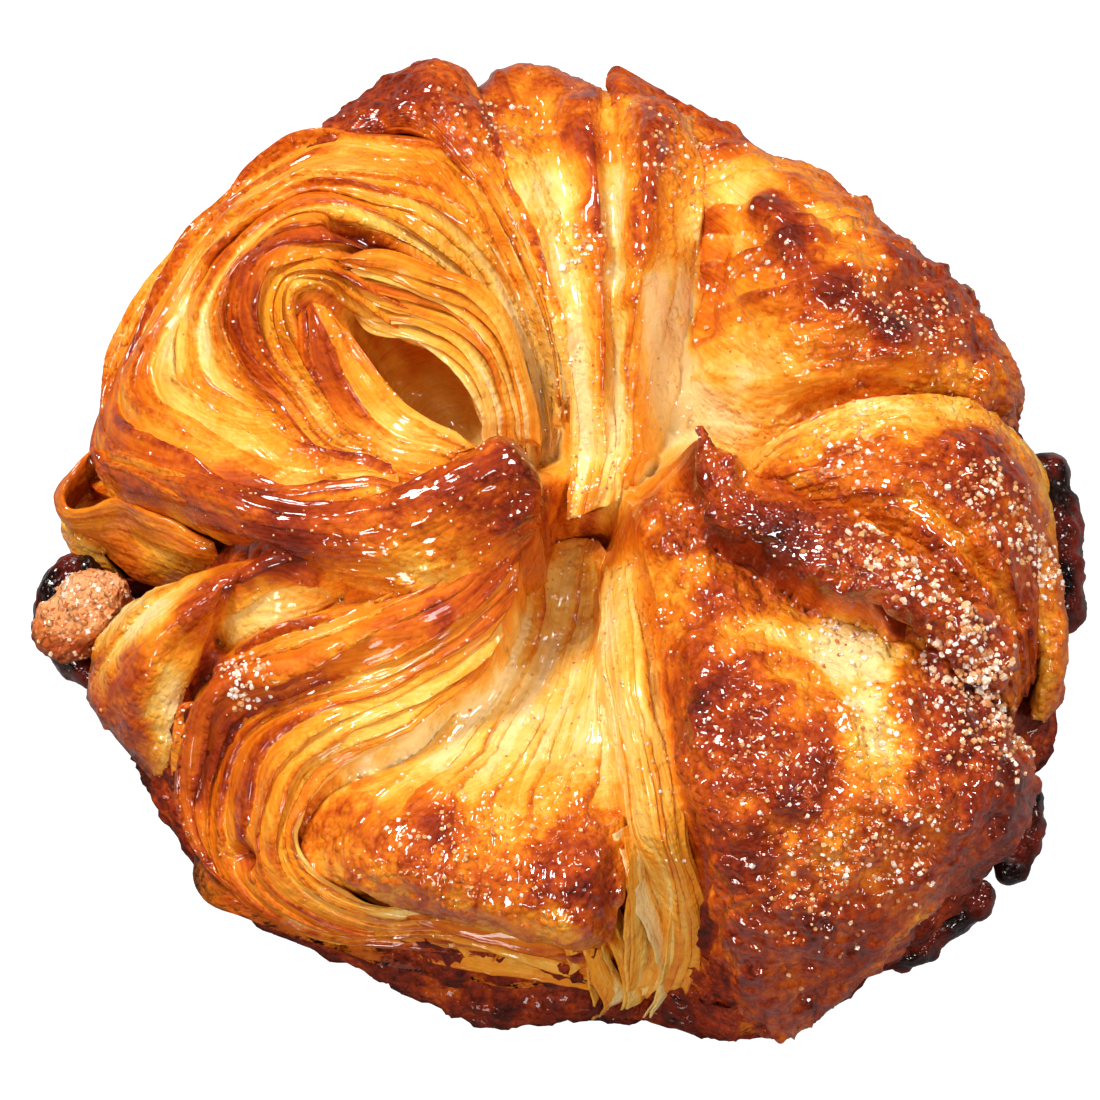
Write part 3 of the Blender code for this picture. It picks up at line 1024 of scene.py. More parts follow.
@dataclass(frozen=True)
class SheetFan:
    """Thin loose sheets of dough whose free edges step evenly from one line to another."""

    name: str
    first: Line
    last: Line
    sheets: int
    root: Point
    overlap: float = 0.0
    thickness: float = 0.32
    sway: float = 0.05
    browns: Point = (0.40, 0.30, 0.14)
    later: Point = (0.0, 0.12, 0.22)
    runs: tuple[float, ...] = (0.0, 0.0)
    tear: float = 0.35
    swell: float = 0.35
    along: float = 0.5
    crusts: tuple[float, ...] = (0.0, 0.0)
    seed: int = 40

    def leaves(self) -> list[Leaf]:
        """The sheets as leaves, from the lowest to the highest."""
        first = np.array(self.first)
        last = np.array(self.last)
        made = []
        for number in range(self.sheets):
            share = number / max(self.sheets - 1, 1)
            step = np.arange(len(first))
            edge = first + (last - first) * (share + self.sway * np.sin(step * 1.3 + number * 2.1))[:, None]
            root = edge + (last - first) * self.overlap + np.array(self.root)
            middle = (edge + root) / 2
            middle[:, 2] += 0.5
            lines = tuple(tuple(map(tuple, line)) for line in (root, middle, edge))
            made.append(
                Leaf(
                    name=f"{self.name}_{number + 1}",
                    guides=lines,
                    layers=(1, 1),
                    browns=tuple(brown + share * more for brown, more in zip(self.browns, self.later)),
                    runs=self.runs,
                    lip=0.05,
                    swell=self.swell,
                    rough=0.05,
                    thickness=self.thickness,
                    along=self.along,
                    across=0.3,
                    fine=1.0,
                    fine_lip=0.03,
                    crusts=self.crusts,
                    dive=(0.6, 0.6),
                    edge=0.12,
                    tear=self.tear,
                    seed=self.seed + number,
                )
            )
        return made


FANS: tuple[SheetFan, ...] = (
    SheetFan(
        name="page",
        first=((-20.2, 19.6, 27), (-18, 17.6, 26), (-14.2, 17.2, 25.5), (-10.9, 15.7, 25),
               (-8.5, 13.3, 24), (-7.3, 11, 22.5), (-6.8, 8.5, 20.5)),
        last=((-20.7, 22.6, 33), (-16.7, 22.6, 32), (-12.2, 21.4, 30.5), (-8.4, 20.5, 28.5),
              (-5.4, 18.2, 26), (-3.6, 14.5, 23), (-2.2, 9.5, 19.5)),
        sheets=9, root=(0.0, 0.0, -2.1), overlap=0.42, runs=(0.1, 0.04, 0.0, 0.0, -0.04, -0.08, -0.1),
    ),
    SheetFan(
        name="foot_page",
        first=((1.6, -37, 23), (2.4, -41.4, 18.5), (3.2, -44.6, 12), (3.6, -47, 5)),
        last=((8.4, -33, 25), (9.8, -38, 21), (10.6, -42.6, 13), (10.2, -46.6, 4.5)),
        sheets=7, root=(2.6, 2.4, -3.0), thickness=0.4, sway=0.16, browns=(0.34, 0.20, 0.34),
        later=(-0.06, -0.04, -0.10), tear=0.8, swell=0.6, along=0.35, seed=70,
    ),
    SheetFan(
        name="fringe_page",
        first=((-12.6, -39.6, 19), (-12.9, -40.9, 15.5), (-13.2, -41.8, 12), (-13.6, -42.4, 8.5)),
        last=((4.4, -42.8, 18), (4.0, -44.4, 14.5), (3.6, -45.8, 10.5), (3.0, -46.6, 6.5)),
        sheets=9, root=(2.8, 1.8, -2.0), thickness=0.4, sway=0.10, browns=(0.46, 0.28, 0.42),
        later=(-0.06, -0.04, -0.10), tear=0.9, swell=0.7, along=0.35, seed=80,
    ),
    SheetFan(
        name="fringe",
        first=((-21.5, -36.8, 10.5), (-19.6, -39.2, 10), (-13.2, -42.6, 9.5), (-7, -44.6, 9),
               (-1, -46.2, 8.5), (4, -47, 8)),
        last=((-23, -34.6, 15), (-21.5, -36.5, 16), (-15, -40.2, 17), (-8, -42, 17), (-1, -43.4, 16.5),
              (4, -44, 15)),
        sheets=4, root=(0.0, 4.5, 1.0), thickness=0.4, sway=0.12, browns=(0.52, 0.44, 0.62),
        later=(-0.10, -0.08, -0.16), tear=0.7, swell=0.7, along=0.35, seed=60,
    ),
)


LEAVES: tuple[Leaf, ...] = (
    Leaf(
        name="swirl",
        guides=(
            ((0.8, 11, 12), (1, 21, 16), (-2.5, 32, 19), (-8, 40, 19), (-16, 43, 13), (-26, 42.5, 7.5),
             (-36.4, 35.9, 5.5), (-42.6, 26, 5.5), (-46.3, 12.5, 6), (-44, 5, 13), (-31, -2, 22),
             (-16, -3, 29)),
            ((0.5, 10.5, 13), (0, 20, 18), (-4, 30.5, 23), (-9.5, 38, 26), (-16.5, 40, 25),
             (-25, 41.5, 20), (-35, 34.5, 17), (-41.2, 25.2, 16), (-45.4, 12, 17), (-41, 4.5, 24),
             (-28.5, -2.5, 29), (-15, -2, 33)),
            ((-0.5, 9.5, 14), (-1.5, 18.5, 19), (-6, 26.5, 25), (-11, 31, 29), (-17, 32.5, 30),
             (-25, 33.5, 28), (-33, 29, 25), (-38.5, 20.5, 23), (-40, 14.5, 22), (-34.5, 8.5, 25),
             (-26, 1.5, 28.5), (-15, 0.5, 31)),
            ((-2, 8.5, 14), (-3.5, 16.5, 19), (-7.5, 24, 24), (-12.5, 27.5, 28), (-18, 29, 31),
             (-25, 30, 31), (-31.5, 26.5, 28), (-35.5, 20, 26), (-34.5, 14, 24.5), (-29.5, 9.5, 26),
             (-24, 3.5, 27.5), (-15.5, 2, 29)),
            ((-3.5, 7.5, 14), (-5, 15, 19), (-9, 21, 24), (-14, 24, 28), (-19.5, 25.5, 31.5),
             (-24.5, 25, 33), (-28.5, 23.5, 32), (-30.5, 19, 30), (-29.5, 15, 28), (-26, 10.5, 27),
             (-22.5, 5.5, 26.5), (-16, 3.5, 27.5)),
            ((-5.5, 9, 17), (-7, 12, 20), (-9, 16, 23.5), (-14.5, 17.5, 26), (-20, 19.5, 29),
             (-22.5, 20.5, 31.5), (-25, 20, 32), (-25.5, 18, 31), (-24.5, 15.5, 29), (-23, 12, 27),
             (-20, 8.5, 25.5), (-16, 6, 25.5)),
        ),
        layers=(3.2, 3.6, 2, 3, 4), lip=1.05, browns=(0.50, 0.42, 0.28, 0.36, 0.42, 0.26),
        runs=(-0.25, -0.16, -0.04, 0.0, 0.02, 0.02, 0.0, 0.04, 0.05, 0.02, 0.04, 0.0), thickness=4.0,
        along=0.5, across=0.2, seed=1,
    ),
    Leaf(
        name="tongue",
        guides=(
            ((-26.5, 17, 30), (-26, 12.5, 27.5), (-23.5, 8, 26), (-19, 3.5, 25.5), (-12, 0.5, 27)),
            ((-23.5, 19, 31.5), (-21.5, 15, 29.5), (-18.5, 11, 27.5), (-14.5, 7.5, 27),
             (-9.5, 4.5, 29)),
            ((-21, 19, 30), (-18.5, 15.5, 28), (-15.5, 12, 26.5), (-12.5, 9.5, 26), (-7.5, 5.5, 29)),
        ),
        layers=(2, 2), browns=(0.36, 0.42, 0.36), runs=(0.06, 0.10, 0.02, -0.12, 0.0), lip=0.45,
        swell=0.7, fine_lip=0.16, thickness=3.0, seed=2,
    ),
    Leaf(
        name="crest",
        guides=(
            ((-45.8, 9.4, 18), (-42.7, 7.5, 20), (-39.2, 5.1, 24.5), (-33.7, 2.3, 28),
             (-28.2, -0.4, 30), (-22.2, -1.6, 31), (-16.2, -1.2, 33), (-10.7, 1.1, 34.5),
             (-5.7, 3.8, 34), (-3, 5, 28)),
            ((-45.6, 7.9, 19), (-44.7, 6.3, 20), (-39.7, 3.2, 25), (-34.2, 0.2, 29), (-28.7, -2.5, 31),
             (-22.2, -3.9, 32.5), (-15.7, -3.4, 34), (-10.2, -1.3, 35.5), (-4.7, 1.7, 35.5),
             (-1.5, 3, 29)),
            ((-45.2, 6.2, 18), (-44.2, 4.7, 18), (-39.2, 1.9, 23), (-33.7, -1.3, 27.5),
             (-28.2, -4.3, 30), (-21.7, -6.2, 31.5), (-15.2, -6, 32.5), (-9.2, -3.9, 34),
             (-3, -0.5, 34), (-0.5, 0.5, 28.5)),
            ((-44.2, 4.8, 15), (-42.7, 3.6, 16), (-38.2, 0.8, 21), (-32.7, -2.7, 25.5),
             (-27.2, -5.3, 28), (-20.7, -7.8, 29), (-13.7, -8.6, 29.5), (-7.7, -6.8, 30.5),
             (-2.4, -3.3, 31), (-0.3, -2.5, 27)),
            ((-42.8, 4.6, 11.5), (-41.2, 4, 13), (-36.7, 0.9, 18), (-31.2, -2.9, 22), (-25.7, -6.2, 25),
             (-19.2, -9.3, 26), (-12.2, -10.6, 26.5), (-6.2, -8.7, 27), (-2.2, -4.9, 27), (-1, -4, 25)),
        ),
        layers=(1, 1, 1, 2), browns=(0.52, 0.68, 0.60, 0.44, 0.34),
        runs=(-0.02, -0.04, -0.02, 0.06, 0.10, 0.08, 0.02, 0.08, 0.22, 0.26), lip=0.3, rough=0.45,
        crusts=(0.3, 0.25, 0.25, 0.4, 0.7), patches=0.10, fine_lip=0.08, thickness=5.0, wet=1.2,
        dive=(0.0, 0.9), seed=3,
    ),
    Leaf(
        name="loop_fold",
        guides=(
            ((-46.2, 10.2, 16), (-48, 8.2, 16), (-49.2, 5.9, 15.5), (-48.4, 4, 15), (-46.2, 3.6, 16),
             (-43.4, 3.7, 18), (-40.2, 1.3, 20.5), (-37, -0.6, 21.5), (-34, -3, 21.5)),
            ((-46.4, 9.9, 13), (-48.4, 8, 13), (-49.8, 5.5, 12.5), (-48.8, 3.2, 12.5), (-46, 2.4, 13),
             (-42.8, 1.6, 14.5), (-39.8, -0.6, 17), (-36.6, -2.6, 19), (-33, -4.6, 19.5)),
            ((-45, 9.5, 8), (-47, 8, 8), (-48.4, 5.5, 7.5), (-47.4, 3.8, 9), (-45.2, 1.8, 9),
             (-43.2, -0.5, 9.5), (-41.3, -2.2, 10), (-38.2, -3.6, 12), (-35.2, -4.8, 15)),
        ),
        layers=(1.4, 1.6), browns=(0.54, 0.44, 0.50),
        runs=(0.06, 0.08, 0.06, 0.02, 0.0, 0.04, 0.0, 0.0, 0.04), lip=0.12, swell=0.5, rough=0.15,
        wet=1.2, crusts=(0.3, 0.3, 0.2, 0.1, 0.1), thickness=1.1, along=0.35, dive=(0.0, 0.6),
        edge=0.35, tear=0.5, seed=4,
    ),
    Leaf(
        name="pocket_tip",
        guides=(
            ((-46.2, 9.6, 10), (-44.6, 7.4, 11), (-42.4, 5, 12)),
            ((-47.6, 7.0, 10), (-45.6, 4.8, 10.5), (-43, 3, 10.8)),
            ((-49.4, 5.2, 9.5), (-48.2, 3, 10), (-45, 1, 10)),
            ((-48.8, 3, 7), (-47.2, 1, 7.5), (-43.5, -1, 8)),
            ((-47, 1.5, 4.5), (-44.5, -0.8, 5), (-42, -2.4, 6)),
        ),
        layers=(1, 1, 1.4, 1.4), browns=(0.62, 0.46, 0.18, 0.36, 0.52), lip=0.25, rough=0.45, wet=1.1,
        crusts=(0.8, 0.8, 0.6, 0.3), along=0.3, dive=(0.0, 0.4), thickness=2.5, seed=6,
    ),
    Leaf(
        name="left_lobe",
        guides=(
            ((-23.2, -4.4, 25), (-28.7, -4.3, 22.5), (-34.2, -5, 20.5), (-38.7, -5.6, 18),
             (-42.4, -6.2, 15), (-44.4, -7.5, 12), (-46.6, -8.8, 8)),
            ((-20.7, -5.1, 26), (-28.4, -6.1, 26), (-34, -6.8, 24), (-38.7, -8.4, 21),
             (-42.2, -10.6, 18), (-44.4, -13.3, 15), (-46.6, -15, 9)),
            ((-20.7, -6.4, 27), (-27.2, -6.9, 28), (-32.7, -9.3, 26), (-37, -11.8, 23.5),
             (-40, -14.9, 20.5), (-41.7, -18, 16), (-42.6, -20, 9)),
            ((-21, -8.4, 25), (-27.2, -9.2, 25.5), (-31.4, -10.6, 22.5), (-34.2, -13.3, 18.5),
             (-36.4, -17.2, 16), (-38.4, -20.7, 13.5), (-40, -23, 8)),
            ((-20.5, -9.6, 23), (-27.6, -12.4, 22.5), (-31.9, -12.8, 18), (-34.4, -14.2, 14),
             (-36.4, -18.2, 12), (-37.8, -21.8, 10), (-38.4, -23.9, 6)),
        ),
        layers=(1.2, 1.4, 1.2, 1), browns=(0.34, 0.40, 0.60, 0.20, 0.20),
        runs=(0.12, 0.14, 0.04, -0.04, -0.10, 0.0, 0.22), lip=0.36, crusts=(0.0, 0.0, 0.1, 0.4, 0.6),
        rough=0.45, wet=1.0, thickness=4.0, seed=5,
    ),
    Leaf(
        name="lower_swirl",
        guides=(
            ((-3.7, -0.4, 28), (-11.2, -6.5, 27), (-20.2, -9.6, 24), (-28.2, -10.5, 21),
             (-33.7, -13.2, 17), (-36.7, -18.1, 13), (-37.4, -24.4, 9), (-35.4, -29.7, 9.5),
             (-31.4, -34.4, 10), (-24.8, -37.9, 10), (-15.2, -40.6, 9.5), (-5.2, -43, 8.5),
             (4.8, -44.2, 8.5)),
            ((-2.7, -3, 29), (-10.2, -10.1, 28), (-19.2, -14.3, 27), (-27.2, -16.7, 25),
             (-33.7, -18.3, 22), (-36, -22.3, 18), (-36.7, -26.4, 14), (-35, -31, 12.8),
             (-31.6, -35, 13.2), (-24.8, -38.1, 13.2), (-15.2, -40.9, 12.5), (-5.2, -42.6, 12.5),
             (4.8, -43.8, 12.5)),
            ((-3, -6.5, 27), (-9.7, -12.8, 26.5), (-17.7, -17, 25), (-25.2, -19.2, 22.5),
             (-30.7, -21.1, 19), (-33, -25, 15.5), (-33.7, -29.1, 13.5), (-32.7, -33.5, 12.5),
             (-29, -37.9, 12.5), (-22.2, -40.4, 12), (-13.2, -41.5, 11.5), (-4.2, -43.2, 11),
             (5.3, -44.8, 11)),
            ((-3.7, -10.4, 26), (-9.7, -15.6, 25.5), (-16.7, -19.7, 25), (-23, -21.7, 24),
             (-27.2, -24.2, 21.5), (-29.2, -28.1, 19), (-29.8, -31.6, 17), (-29, -35.3, 15.5),
             (-26, -38.5, 15), (-20.2, -40.8, 14.5), (-12.2, -41.2, 14.5), (-3.7, -42.2, 14),
             (5.3, -43.9, 14)),
            ((-4.7, -13, 24.5), (-9.7, -17.9, 24.5), (-15.2, -21.9, 24.5), (-20.2, -23.6, 23.5),
             (-24.2, -25.8, 22), (-26.2, -29.2, 20.5), (-27, -32.6, 19), (-26, -35.8, 18),
             (-22.7, -38.5, 17.5), (-17.2, -40.4, 17), (-10.2, -40.4, 17), (-2.7, -40.8, 17),
             (5.3, -42.4, 17)),
            ((-5.2, -14.9, 22.5), (-9.7, -20.2, 23.5), (-13.2, -23.4, 23.5), (-16.7, -24.6, 22.5),
             (-20.7, -26.5, 21), (-23.4, -29.2, 20), (-24.6, -32.4, 19.5), (-23.4, -35.1, 19),
             (-20.2, -37.3, 19), (-15.2, -39, 18.5), (-9.2, -39.2, 19), (-2.2, -39.2, 19),
             (4.8, -40.3, 18.5)),
        ),
        layers=(2.2, 1.6, 2, 2.2, 2.6), browns=(0.58, 0.55, 0.37, 0.44, 0.31, 0.16),
        runs=(0.10, 0.02, -0.06, 0.0, 0.08, 0.08, 0.08, 0.06, 0.02, 0.0, -0.02, -0.06, -0.06), lip=0.85,
        thickness=4.0, along=0.5, across=0.2, fray=1.5, tear=0.8, edge=0.5, seed=7,
    ),
    Leaf(
        name="valley_mound",
        guides=(
            ((-2.2, -1.2, 15), (-5.7, -13.2, 19.5), (-12.2, -23.2, 21), (-20.5, -27.3, 19.5),
             (-24.5, -31.4, 18), (-24.2, -35, 17.5), (-22, -37.5, 17)),
            ((-0.2, 0.9, 12.5), (-3.7, -12.2, 17), (-8.7, -23.5, 21), (-14.2, -30.1, 24),
             (-18.2, -35.8, 24.5), (-18.7, -38.3, 22.5), (-17.7, -38.9, 19)),
            ((1.8, 1.9, 11.5), (-1.2, -11.6, 15.5), (-5.2, -23.1, 20), (-9.7, -30.8, 24.5),
             (-12.2, -37.0, 26), (-12.7, -40.1, 23.5), (-12.7, -40.5, 19)),
            ((3.8, 1.9, 11.5), (1.3, -11.6, 15.5), (-1.7, -22.9, 19.5), (-5.2, -31, 23.5),
             (-7.2, -37.5, 25), (-7.9, -41.2, 23), (-7.7, -41.6, 18.5)),
            ((5.1, 0.9, 12.5), (3.3, -12, 16.5), (1.3, -23.1, 20), (-0.7, -31, 23.5), (-2.2, -38, 25),
             (-3, -42.2, 22.5), (-2.7, -42.6, 17)),
            ((5.3, -1.7, 15), (4.6, -14.1, 19), (3.8, -23.5, 21), (3.3, -31, 23.5), (2.8, -38.2, 25.5),
             (2.3, -43.3, 22.5), (2, -43.3, 16)),
            ((4.8, -4.9, 19), (5.3, -16.1, 21.5), (6, -25, 22), (7.3, -31.6, 22.5), (7.6, -37.4, 22),
             (7, -40.4, 20), (6, -42, 16)),
        ),
        layers=(2, 2, 2, 2, 2, 2), browns=(0.18, 0.12, 0.14, 0.13, 0.12, 0.13, 0.17),
        runs=(0.16, 0.0, -0.05, 0.15, 0.38, 0.32, 0.22), lip=0.25, swell=0.9, rough=0.3, wet=1.3,
        fine_lip=0.10, crusts=(0.0, 0.0, 0.0, 0.4, 0.9, 0.7, 0.3), patches=0.07, along=0.34, wander=1.3,
        bands=0.05, dive=(0.4, 0.3), fray=1.4, seed=11,
    ),
    Leaf(
        name="front_ridge",
        guides=(
            ((5.2, -5.2, 17), (4.6, -14.2, 22), (5.5, -21.1, 23), (6.4, -27.7, 23.5), (7, -32.9, 23),
             (8.6, -35.6, 19), (9.3, -38.1, 13), (8, -41.5, 8), (5.1, -44.6, 4)),
            ((6.4, -4.6, 19), (6, -16, 26.5), (7, -23.4, 27.5), (8, -29.9, 27.5), (8.8, -34.5, 25.5),
             (10.4, -37.3, 21), (11, -39.6, 15), (10, -42.8, 10), (7.8, -45.5, 4)),
            ((8, -4.4, 20), (8, -16.6, 28), (9, -24.3, 29), (10, -30.8, 28.5), (11, -35.6, 27),
             (12.4, -38.5, 22), (13.2, -40.7, 16), (12.6, -43, 10), (10.4, -45.9, 4)),
            ((9.6, -5, 20), (10.6, -16.7, 26), (11.8, -24.1, 27), (13.2, -30.4, 26.5), (13.6, -35, 25),
             (14.8, -38, 20), (15.4, -40.1, 14), (15, -43, 9), (13.2, -45.5, 4)),
        ),
        layers=(3, 3, 2.4), browns=(0.12, 0.14, 0.20, 0.36),
        runs=(0.0, 0.0, 0.0, 0.02, 0.06, 0.08, 0.10, 0.10, 0.12), lip=0.20, fine_lip=0.07, wet=1.1,
        fray=3.0, bands=0.06, wander=1.6, dive=(0.0, 1.5), thickness=4.0, seed=12,
    ),
    Leaf(
        name="right_mound",
        guides=(
            ((7.6, 0.6, 25.5), (8.8, -6.3, 26.5), (10, -13.1, 27.5), (11.2, -22.2, 28.5),
             (12.8, -30.8, 28.5), (14.4, -35.9, 25), (15.6, -38.9, 19), (16, -41.1, 12.5),
             (15.4, -43.8, 6)),
            ((10.8, 1.8, 27), (12, -5.1, 29), (13, -12.6, 30), (14.3, -22.9, 33), (15.8, -31.6, 33),
             (17, -37.5, 29), (18.3, -42.6, 23), (19.3, -46.4, 15), (19.8, -48.7, 6)),
            ((14, 1.1, 27), (16.3, -7.3, 29), (18.3, -15, 32), (20.8, -23.8, 35), (23.3, -32.4, 35),
             (24.8, -38.3, 31), (25.8, -43.4, 25), (25.8, -46.7, 17), (24.8, -49.3, 6)),
            ((15.3, -1.8, 26), (21.3, -9.6, 28), (25.8, -16.7, 31), (28.8, -25.3, 33.5),
             (31, -32.7, 33), (32.3, -38.1, 29), (32.8, -41.6, 23), (31.8, -43.7, 15),
             (29.8, -44.8, 7)),
            ((16.3, -4.1, 25), (25.8, -10.8, 27), (32.8, -17.6, 29), (37.3, -25.4, 31), (39.3, -32, 30),
             (39.4, -35.6, 25), (38.6, -37.6, 19), (36.6, -37.8, 12), (34.4, -38.4, 6)),
            ((17.8, -5.3, 26), (28.8, -12.2, 28), (37.8, -18.9, 28.5), (43.3, -24.3, 27),
             (45.3, -29, 24), (45.3, -32.4, 19), (43.2, -32.6, 14), (41, -34.2, 10), (39.4, -35, 6)),
            ((20.5, -3.4, 26), (31, -8.8, 28), (40.8, -16.2, 27.5), (45.8, -23.8, 23),
             (47.8, -25.3, 18), (47, -27.4, 13), (45, -28.6, 9), (43.5, -30.6, 7), (42.5, -32.2, 5)),
        ),
        layers=(1, 1, 1, 1, 1, 1), browns=(0.50, 0.58, 0.60, 0.42, 0.56, 0.68, 0.76),
        runs=(-0.04, 0.02, -0.20, 0.02, 0.02, 0.04, 0.08, 0.10, 0.18), lip=0.16, swell=0.7, rough=0.85,
        wet=1.0, fray=1.6, crusts=(0.7, 0.8, 0.9, 0.9), patches=0.15, fine_lip=0.0, along=0.3,
        across=0.28, seed=13,
    ),
    Leaf(
        name="right_crest",
        guides=(
            ((16.3, 4.8, 31), (20.8, 0.8, 30.5), (26.3, -1.8, 30), (31.3, -4, 30.5), (36.3, -7.6, 30),
             (40.8, -11.4, 28.5), (44.4, -14.7, 26), (45.4, -18.2, 23)),
            ((14.8, 5.3, 33), (17.8, -2, 34.5), (23.3, -5.1, 35.5), (29.3, -8, 36), (34.3, -11.4, 35),
             (38.8, -14.5, 33.5), (42.3, -17.3, 31), (43.8, -21.1, 27)),
            ((13.6, 4.8, 32), (15.1, -3.4, 33), (19.3, -7.9, 33.5), (25.8, -11.0, 34),
             (31.6, -13.1, 33), (36, -16.5, 30.5), (39.3, -19.7, 29), (41.3, -21.7, 26)),
            ((15, 5, 27.5), (17, -1.5, 27), (21.5, -5.5, 27), (27.5, -8.5, 28), (33, -10.5, 28),
             (37.5, -13.5, 27), (40.5, -16.5, 26), (42, -19, 24)),
        ),
        layers=(1, 1.4, 1.4), browns=(0.52, 0.68, 0.88, 0.88),
        runs=(0.0, 0.06, 0.12, 0.0, 0.06, 0.10, 0.04, 0.0), lip=0.45, swell=0.9, rough=1.0,
        crusts=(0.7, 0.8, 0.9, 0.9), patches=0.16, along=0.3, wet=1.4, seed=15,
    ),
    Leaf(
        name="right_flap",
        guides=(
            ((19.3, 5.3, 25), (23.3, 8.1, 27), (28.6, 10.1, 28), (34.8, 11, 27.5), (41.3, 11.7, 25),
             (45.8, 11.7, 18), (49.3, 8.5, 14), (50.6, 3.2, 11), (50.8, -3.5, 9)),
            ((19.6, 3.2, 27), (24, 4.8, 29), (29.3, 6.3, 30), (35.3, 6.9, 30), (41.3, 7.1, 28),
             (45.3, 6.2, 25), (48.3, 3.5, 21), (49.6, -0.7, 18), (50, -5.6, 14)),
            ((20.3, 1.7, 28), (24.8, 1.8, 31), (30.3, 2.8, 32), (36.3, 2.8, 32), (41.8, 2.1, 31),
             (45.8, 0.3, 27.5), (47.3, -2.6, 24), (48.3, -6.2, 21), (48.8, -11.1, 17)),
            ((21.8, 0.6, 28), (26.3, 0.2, 31), (31.8, -0.1, 32.5), (37.3, -1, 32), (41.3, -3, 30.5),
             (43.8, -5.8, 28), (45.6, -8.9, 25), (46.8, -12, 22), (47.8, -15.4, 17)),
            ((23.4, -1.5, 26), (27.6, -3.2, 28), (32, -5, 28), (36.3, -8, 27.5), (39.6, -11.6, 26.5),
             (42.4, -14.4, 24.5), (44.2, -17, 22), (45, -19.2, 19), (45.6, -20.6, 15)),
        ),
        layers=(3, 0.8, 1.2, 3), browns=(0.04, 0.26, 0.65, 0.58, 0.50),
        runs=(-0.04, 0.0, 0.0, 0.02, 0.10, 0.10, 0.08, 0.06, 0.10), lip=0.45, rough=0.5,
        crusts=(0.4, 0.8, 0.9, 0.6, 0.5), patches=0.08, seed=16,
    ),
    Leaf(
        name="right_edge",
        guides=(
            ((42.3, -1.4, 25), (45.8, -5.3, 24), (47.8, -9.9, 22), (48.8, -14.1, 19),
             (48.3, -18.9, 15)),
            ((45.4, 0.1, 25), (48.7, -4.1, 22), (50, -9.2, 20), (50.2, -13.3, 18), (49.6, -18.1, 13)),
            ((48.2, 3.6, 18), (49.8, -1.7, 15), (50.8, -7.7, 14), (51, -11.1, 13), (49.8, -17, 9)),
        ),
        layers=(2, 2), browns=(0.38, 0.48, 0.52), lip=0.2, rough=0.5, crusts=(0.7, 0.8), along=0.3,
        seed=17,
    ),
    Leaf(
        name="back_mound",
        guides=(
            ((13.5, 11.7, 15), (18.6, 8.8, 16), (23.6, 8, 18.5), (29.8, 8.6, 20), (35.8, 9.4, 20),
             (41.8, 10.6, 18), (46, 13, 14)),
            ((13.3, 15.6, 18), (18.8, 12.9, 23), (23.8, 12, 28), (29.8, 13, 29), (35.8, 13.6, 28),
             (41.8, 14.3, 25), (46.6, 15.4, 18)),
            ((13.5, 19.5, 19.5), (19, 17.6, 26), (23.8, 16.2, 31), (29.3, 16.8, 32), (34.8, 17.6, 30),
             (40.3, 18.2, 26), (45.4, 18.6, 19)),
            ((14, 23.8, 21.5), (19.3, 22.4, 28.5), (23.8, 22, 32.5), (28.8, 23.1, 32.5), (33.8, 24, 29),
             (38.8, 23.4, 25), (43.8, 22.8, 18)),
            ((14.6, 28.2, 24), (19.8, 27.9, 29), (23.8, 28.8, 31), (28.3, 29.7, 29.5), (32.8, 29.7, 26),
             (37.3, 28.4, 22), (41.6, 26.3, 16)),
            ((14.6, 33.6, 25), (19.8, 34.9, 27), (23.8, 35.3, 26.5), (28, 34.9, 24.5), (32.3, 33.3, 21),
             (36.4, 31, 17.5), (40.2, 27.6, 14)),
            ((14, 41.5, 22), (19.3, 41.2, 21), (24, 40.2, 19), (28.3, 38.4, 17), (31.3, 34.8, 15),
             (35.2, 31.3, 12), (39.8, 28.6, 10)),
            ((13.5, 43.5, 8), (19, 43, 7), (24, 41.6, 6), (28.3, 39, 5), (31.8, 35.6, 4),
             (35.6, 32, 3.5), (40, 28.9, 3)),
        ),
        layers=(2, 2, 2, 2, 2, 3, 3), browns=(0.40, 0.40, 0.47, 0.50, 0.50, 0.48, 0.58, 0.70),
        runs=(-0.20, -0.12, 0.02, 0.10, 0.12, 0.12, 0.14), lip=0.24, swell=1.1, rough=0.8, wet=1.0,
        crusts=(0.0, 0.3, 0.7, 0.9), patches=0.10, fine_lip=0.05, along=0.3, across=0.28,
        feet=(0.0, 2.5), dive=(0.5, 0.0), seed=18,
    ),
    Leaf(
        name="back_fan",
        guides=(
            ((-8.4, 46, 22), (-6.2, 37.1, 26), (-3.2, 28.4, 26), (-0.4, 20.6, 24), (1, 14.7, 20),
             (1.3, 9.4, 17), (1.6, 6.3, 17.5), (0.6, 2.2, 17.5)),
            ((-5.4, 49.6, 21), (-4.7, 37.7, 27), (-1.7, 28.8, 26.5), (0.8, 20.4, 24.5), (2, 14.5, 20.5),
             (2.3, 9.2, 17.5), (2.2, 5.8, 18), (1.4, 1.6, 18)),
            ((-0.7, 49.2, 20.5), (0.3, 38.8, 24.5), (1.3, 29.9, 25), (2.6, 20.8, 23.5),
             (3.3, 14.5, 20.5), (3.6, 9.2, 17.5), (3.2, 5.4, 18), (2.4, 1.8, 18)),
            ((3.8, 47.5, 22), (4, 39.4, 27), (4.8, 29.1, 27), (4.8, 20.2, 25), (4.8, 14.1, 21.5),
             (5, 9, 18), (4.4, 5.8, 18), (3.6, 2.2, 18)),
            ((5.4, 47, 22), (5.6, 38.6, 25), (6, 29.9, 25), (6, 20.8, 23.5), (6, 14.5, 20.5),
             (6, 9.2, 17.5), (5.4, 6.1, 17.5), (4.8, 2.8, 17.5)),
            ((7.3, 46, 23), (7.6, 36.7, 27), (7.3, 28, 27), (7, 20.4, 24.5), (7, 14.3, 21), (7, 9, 18),
             (6.4, 6.5, 17.5), (6, 3.6, 17.5)),
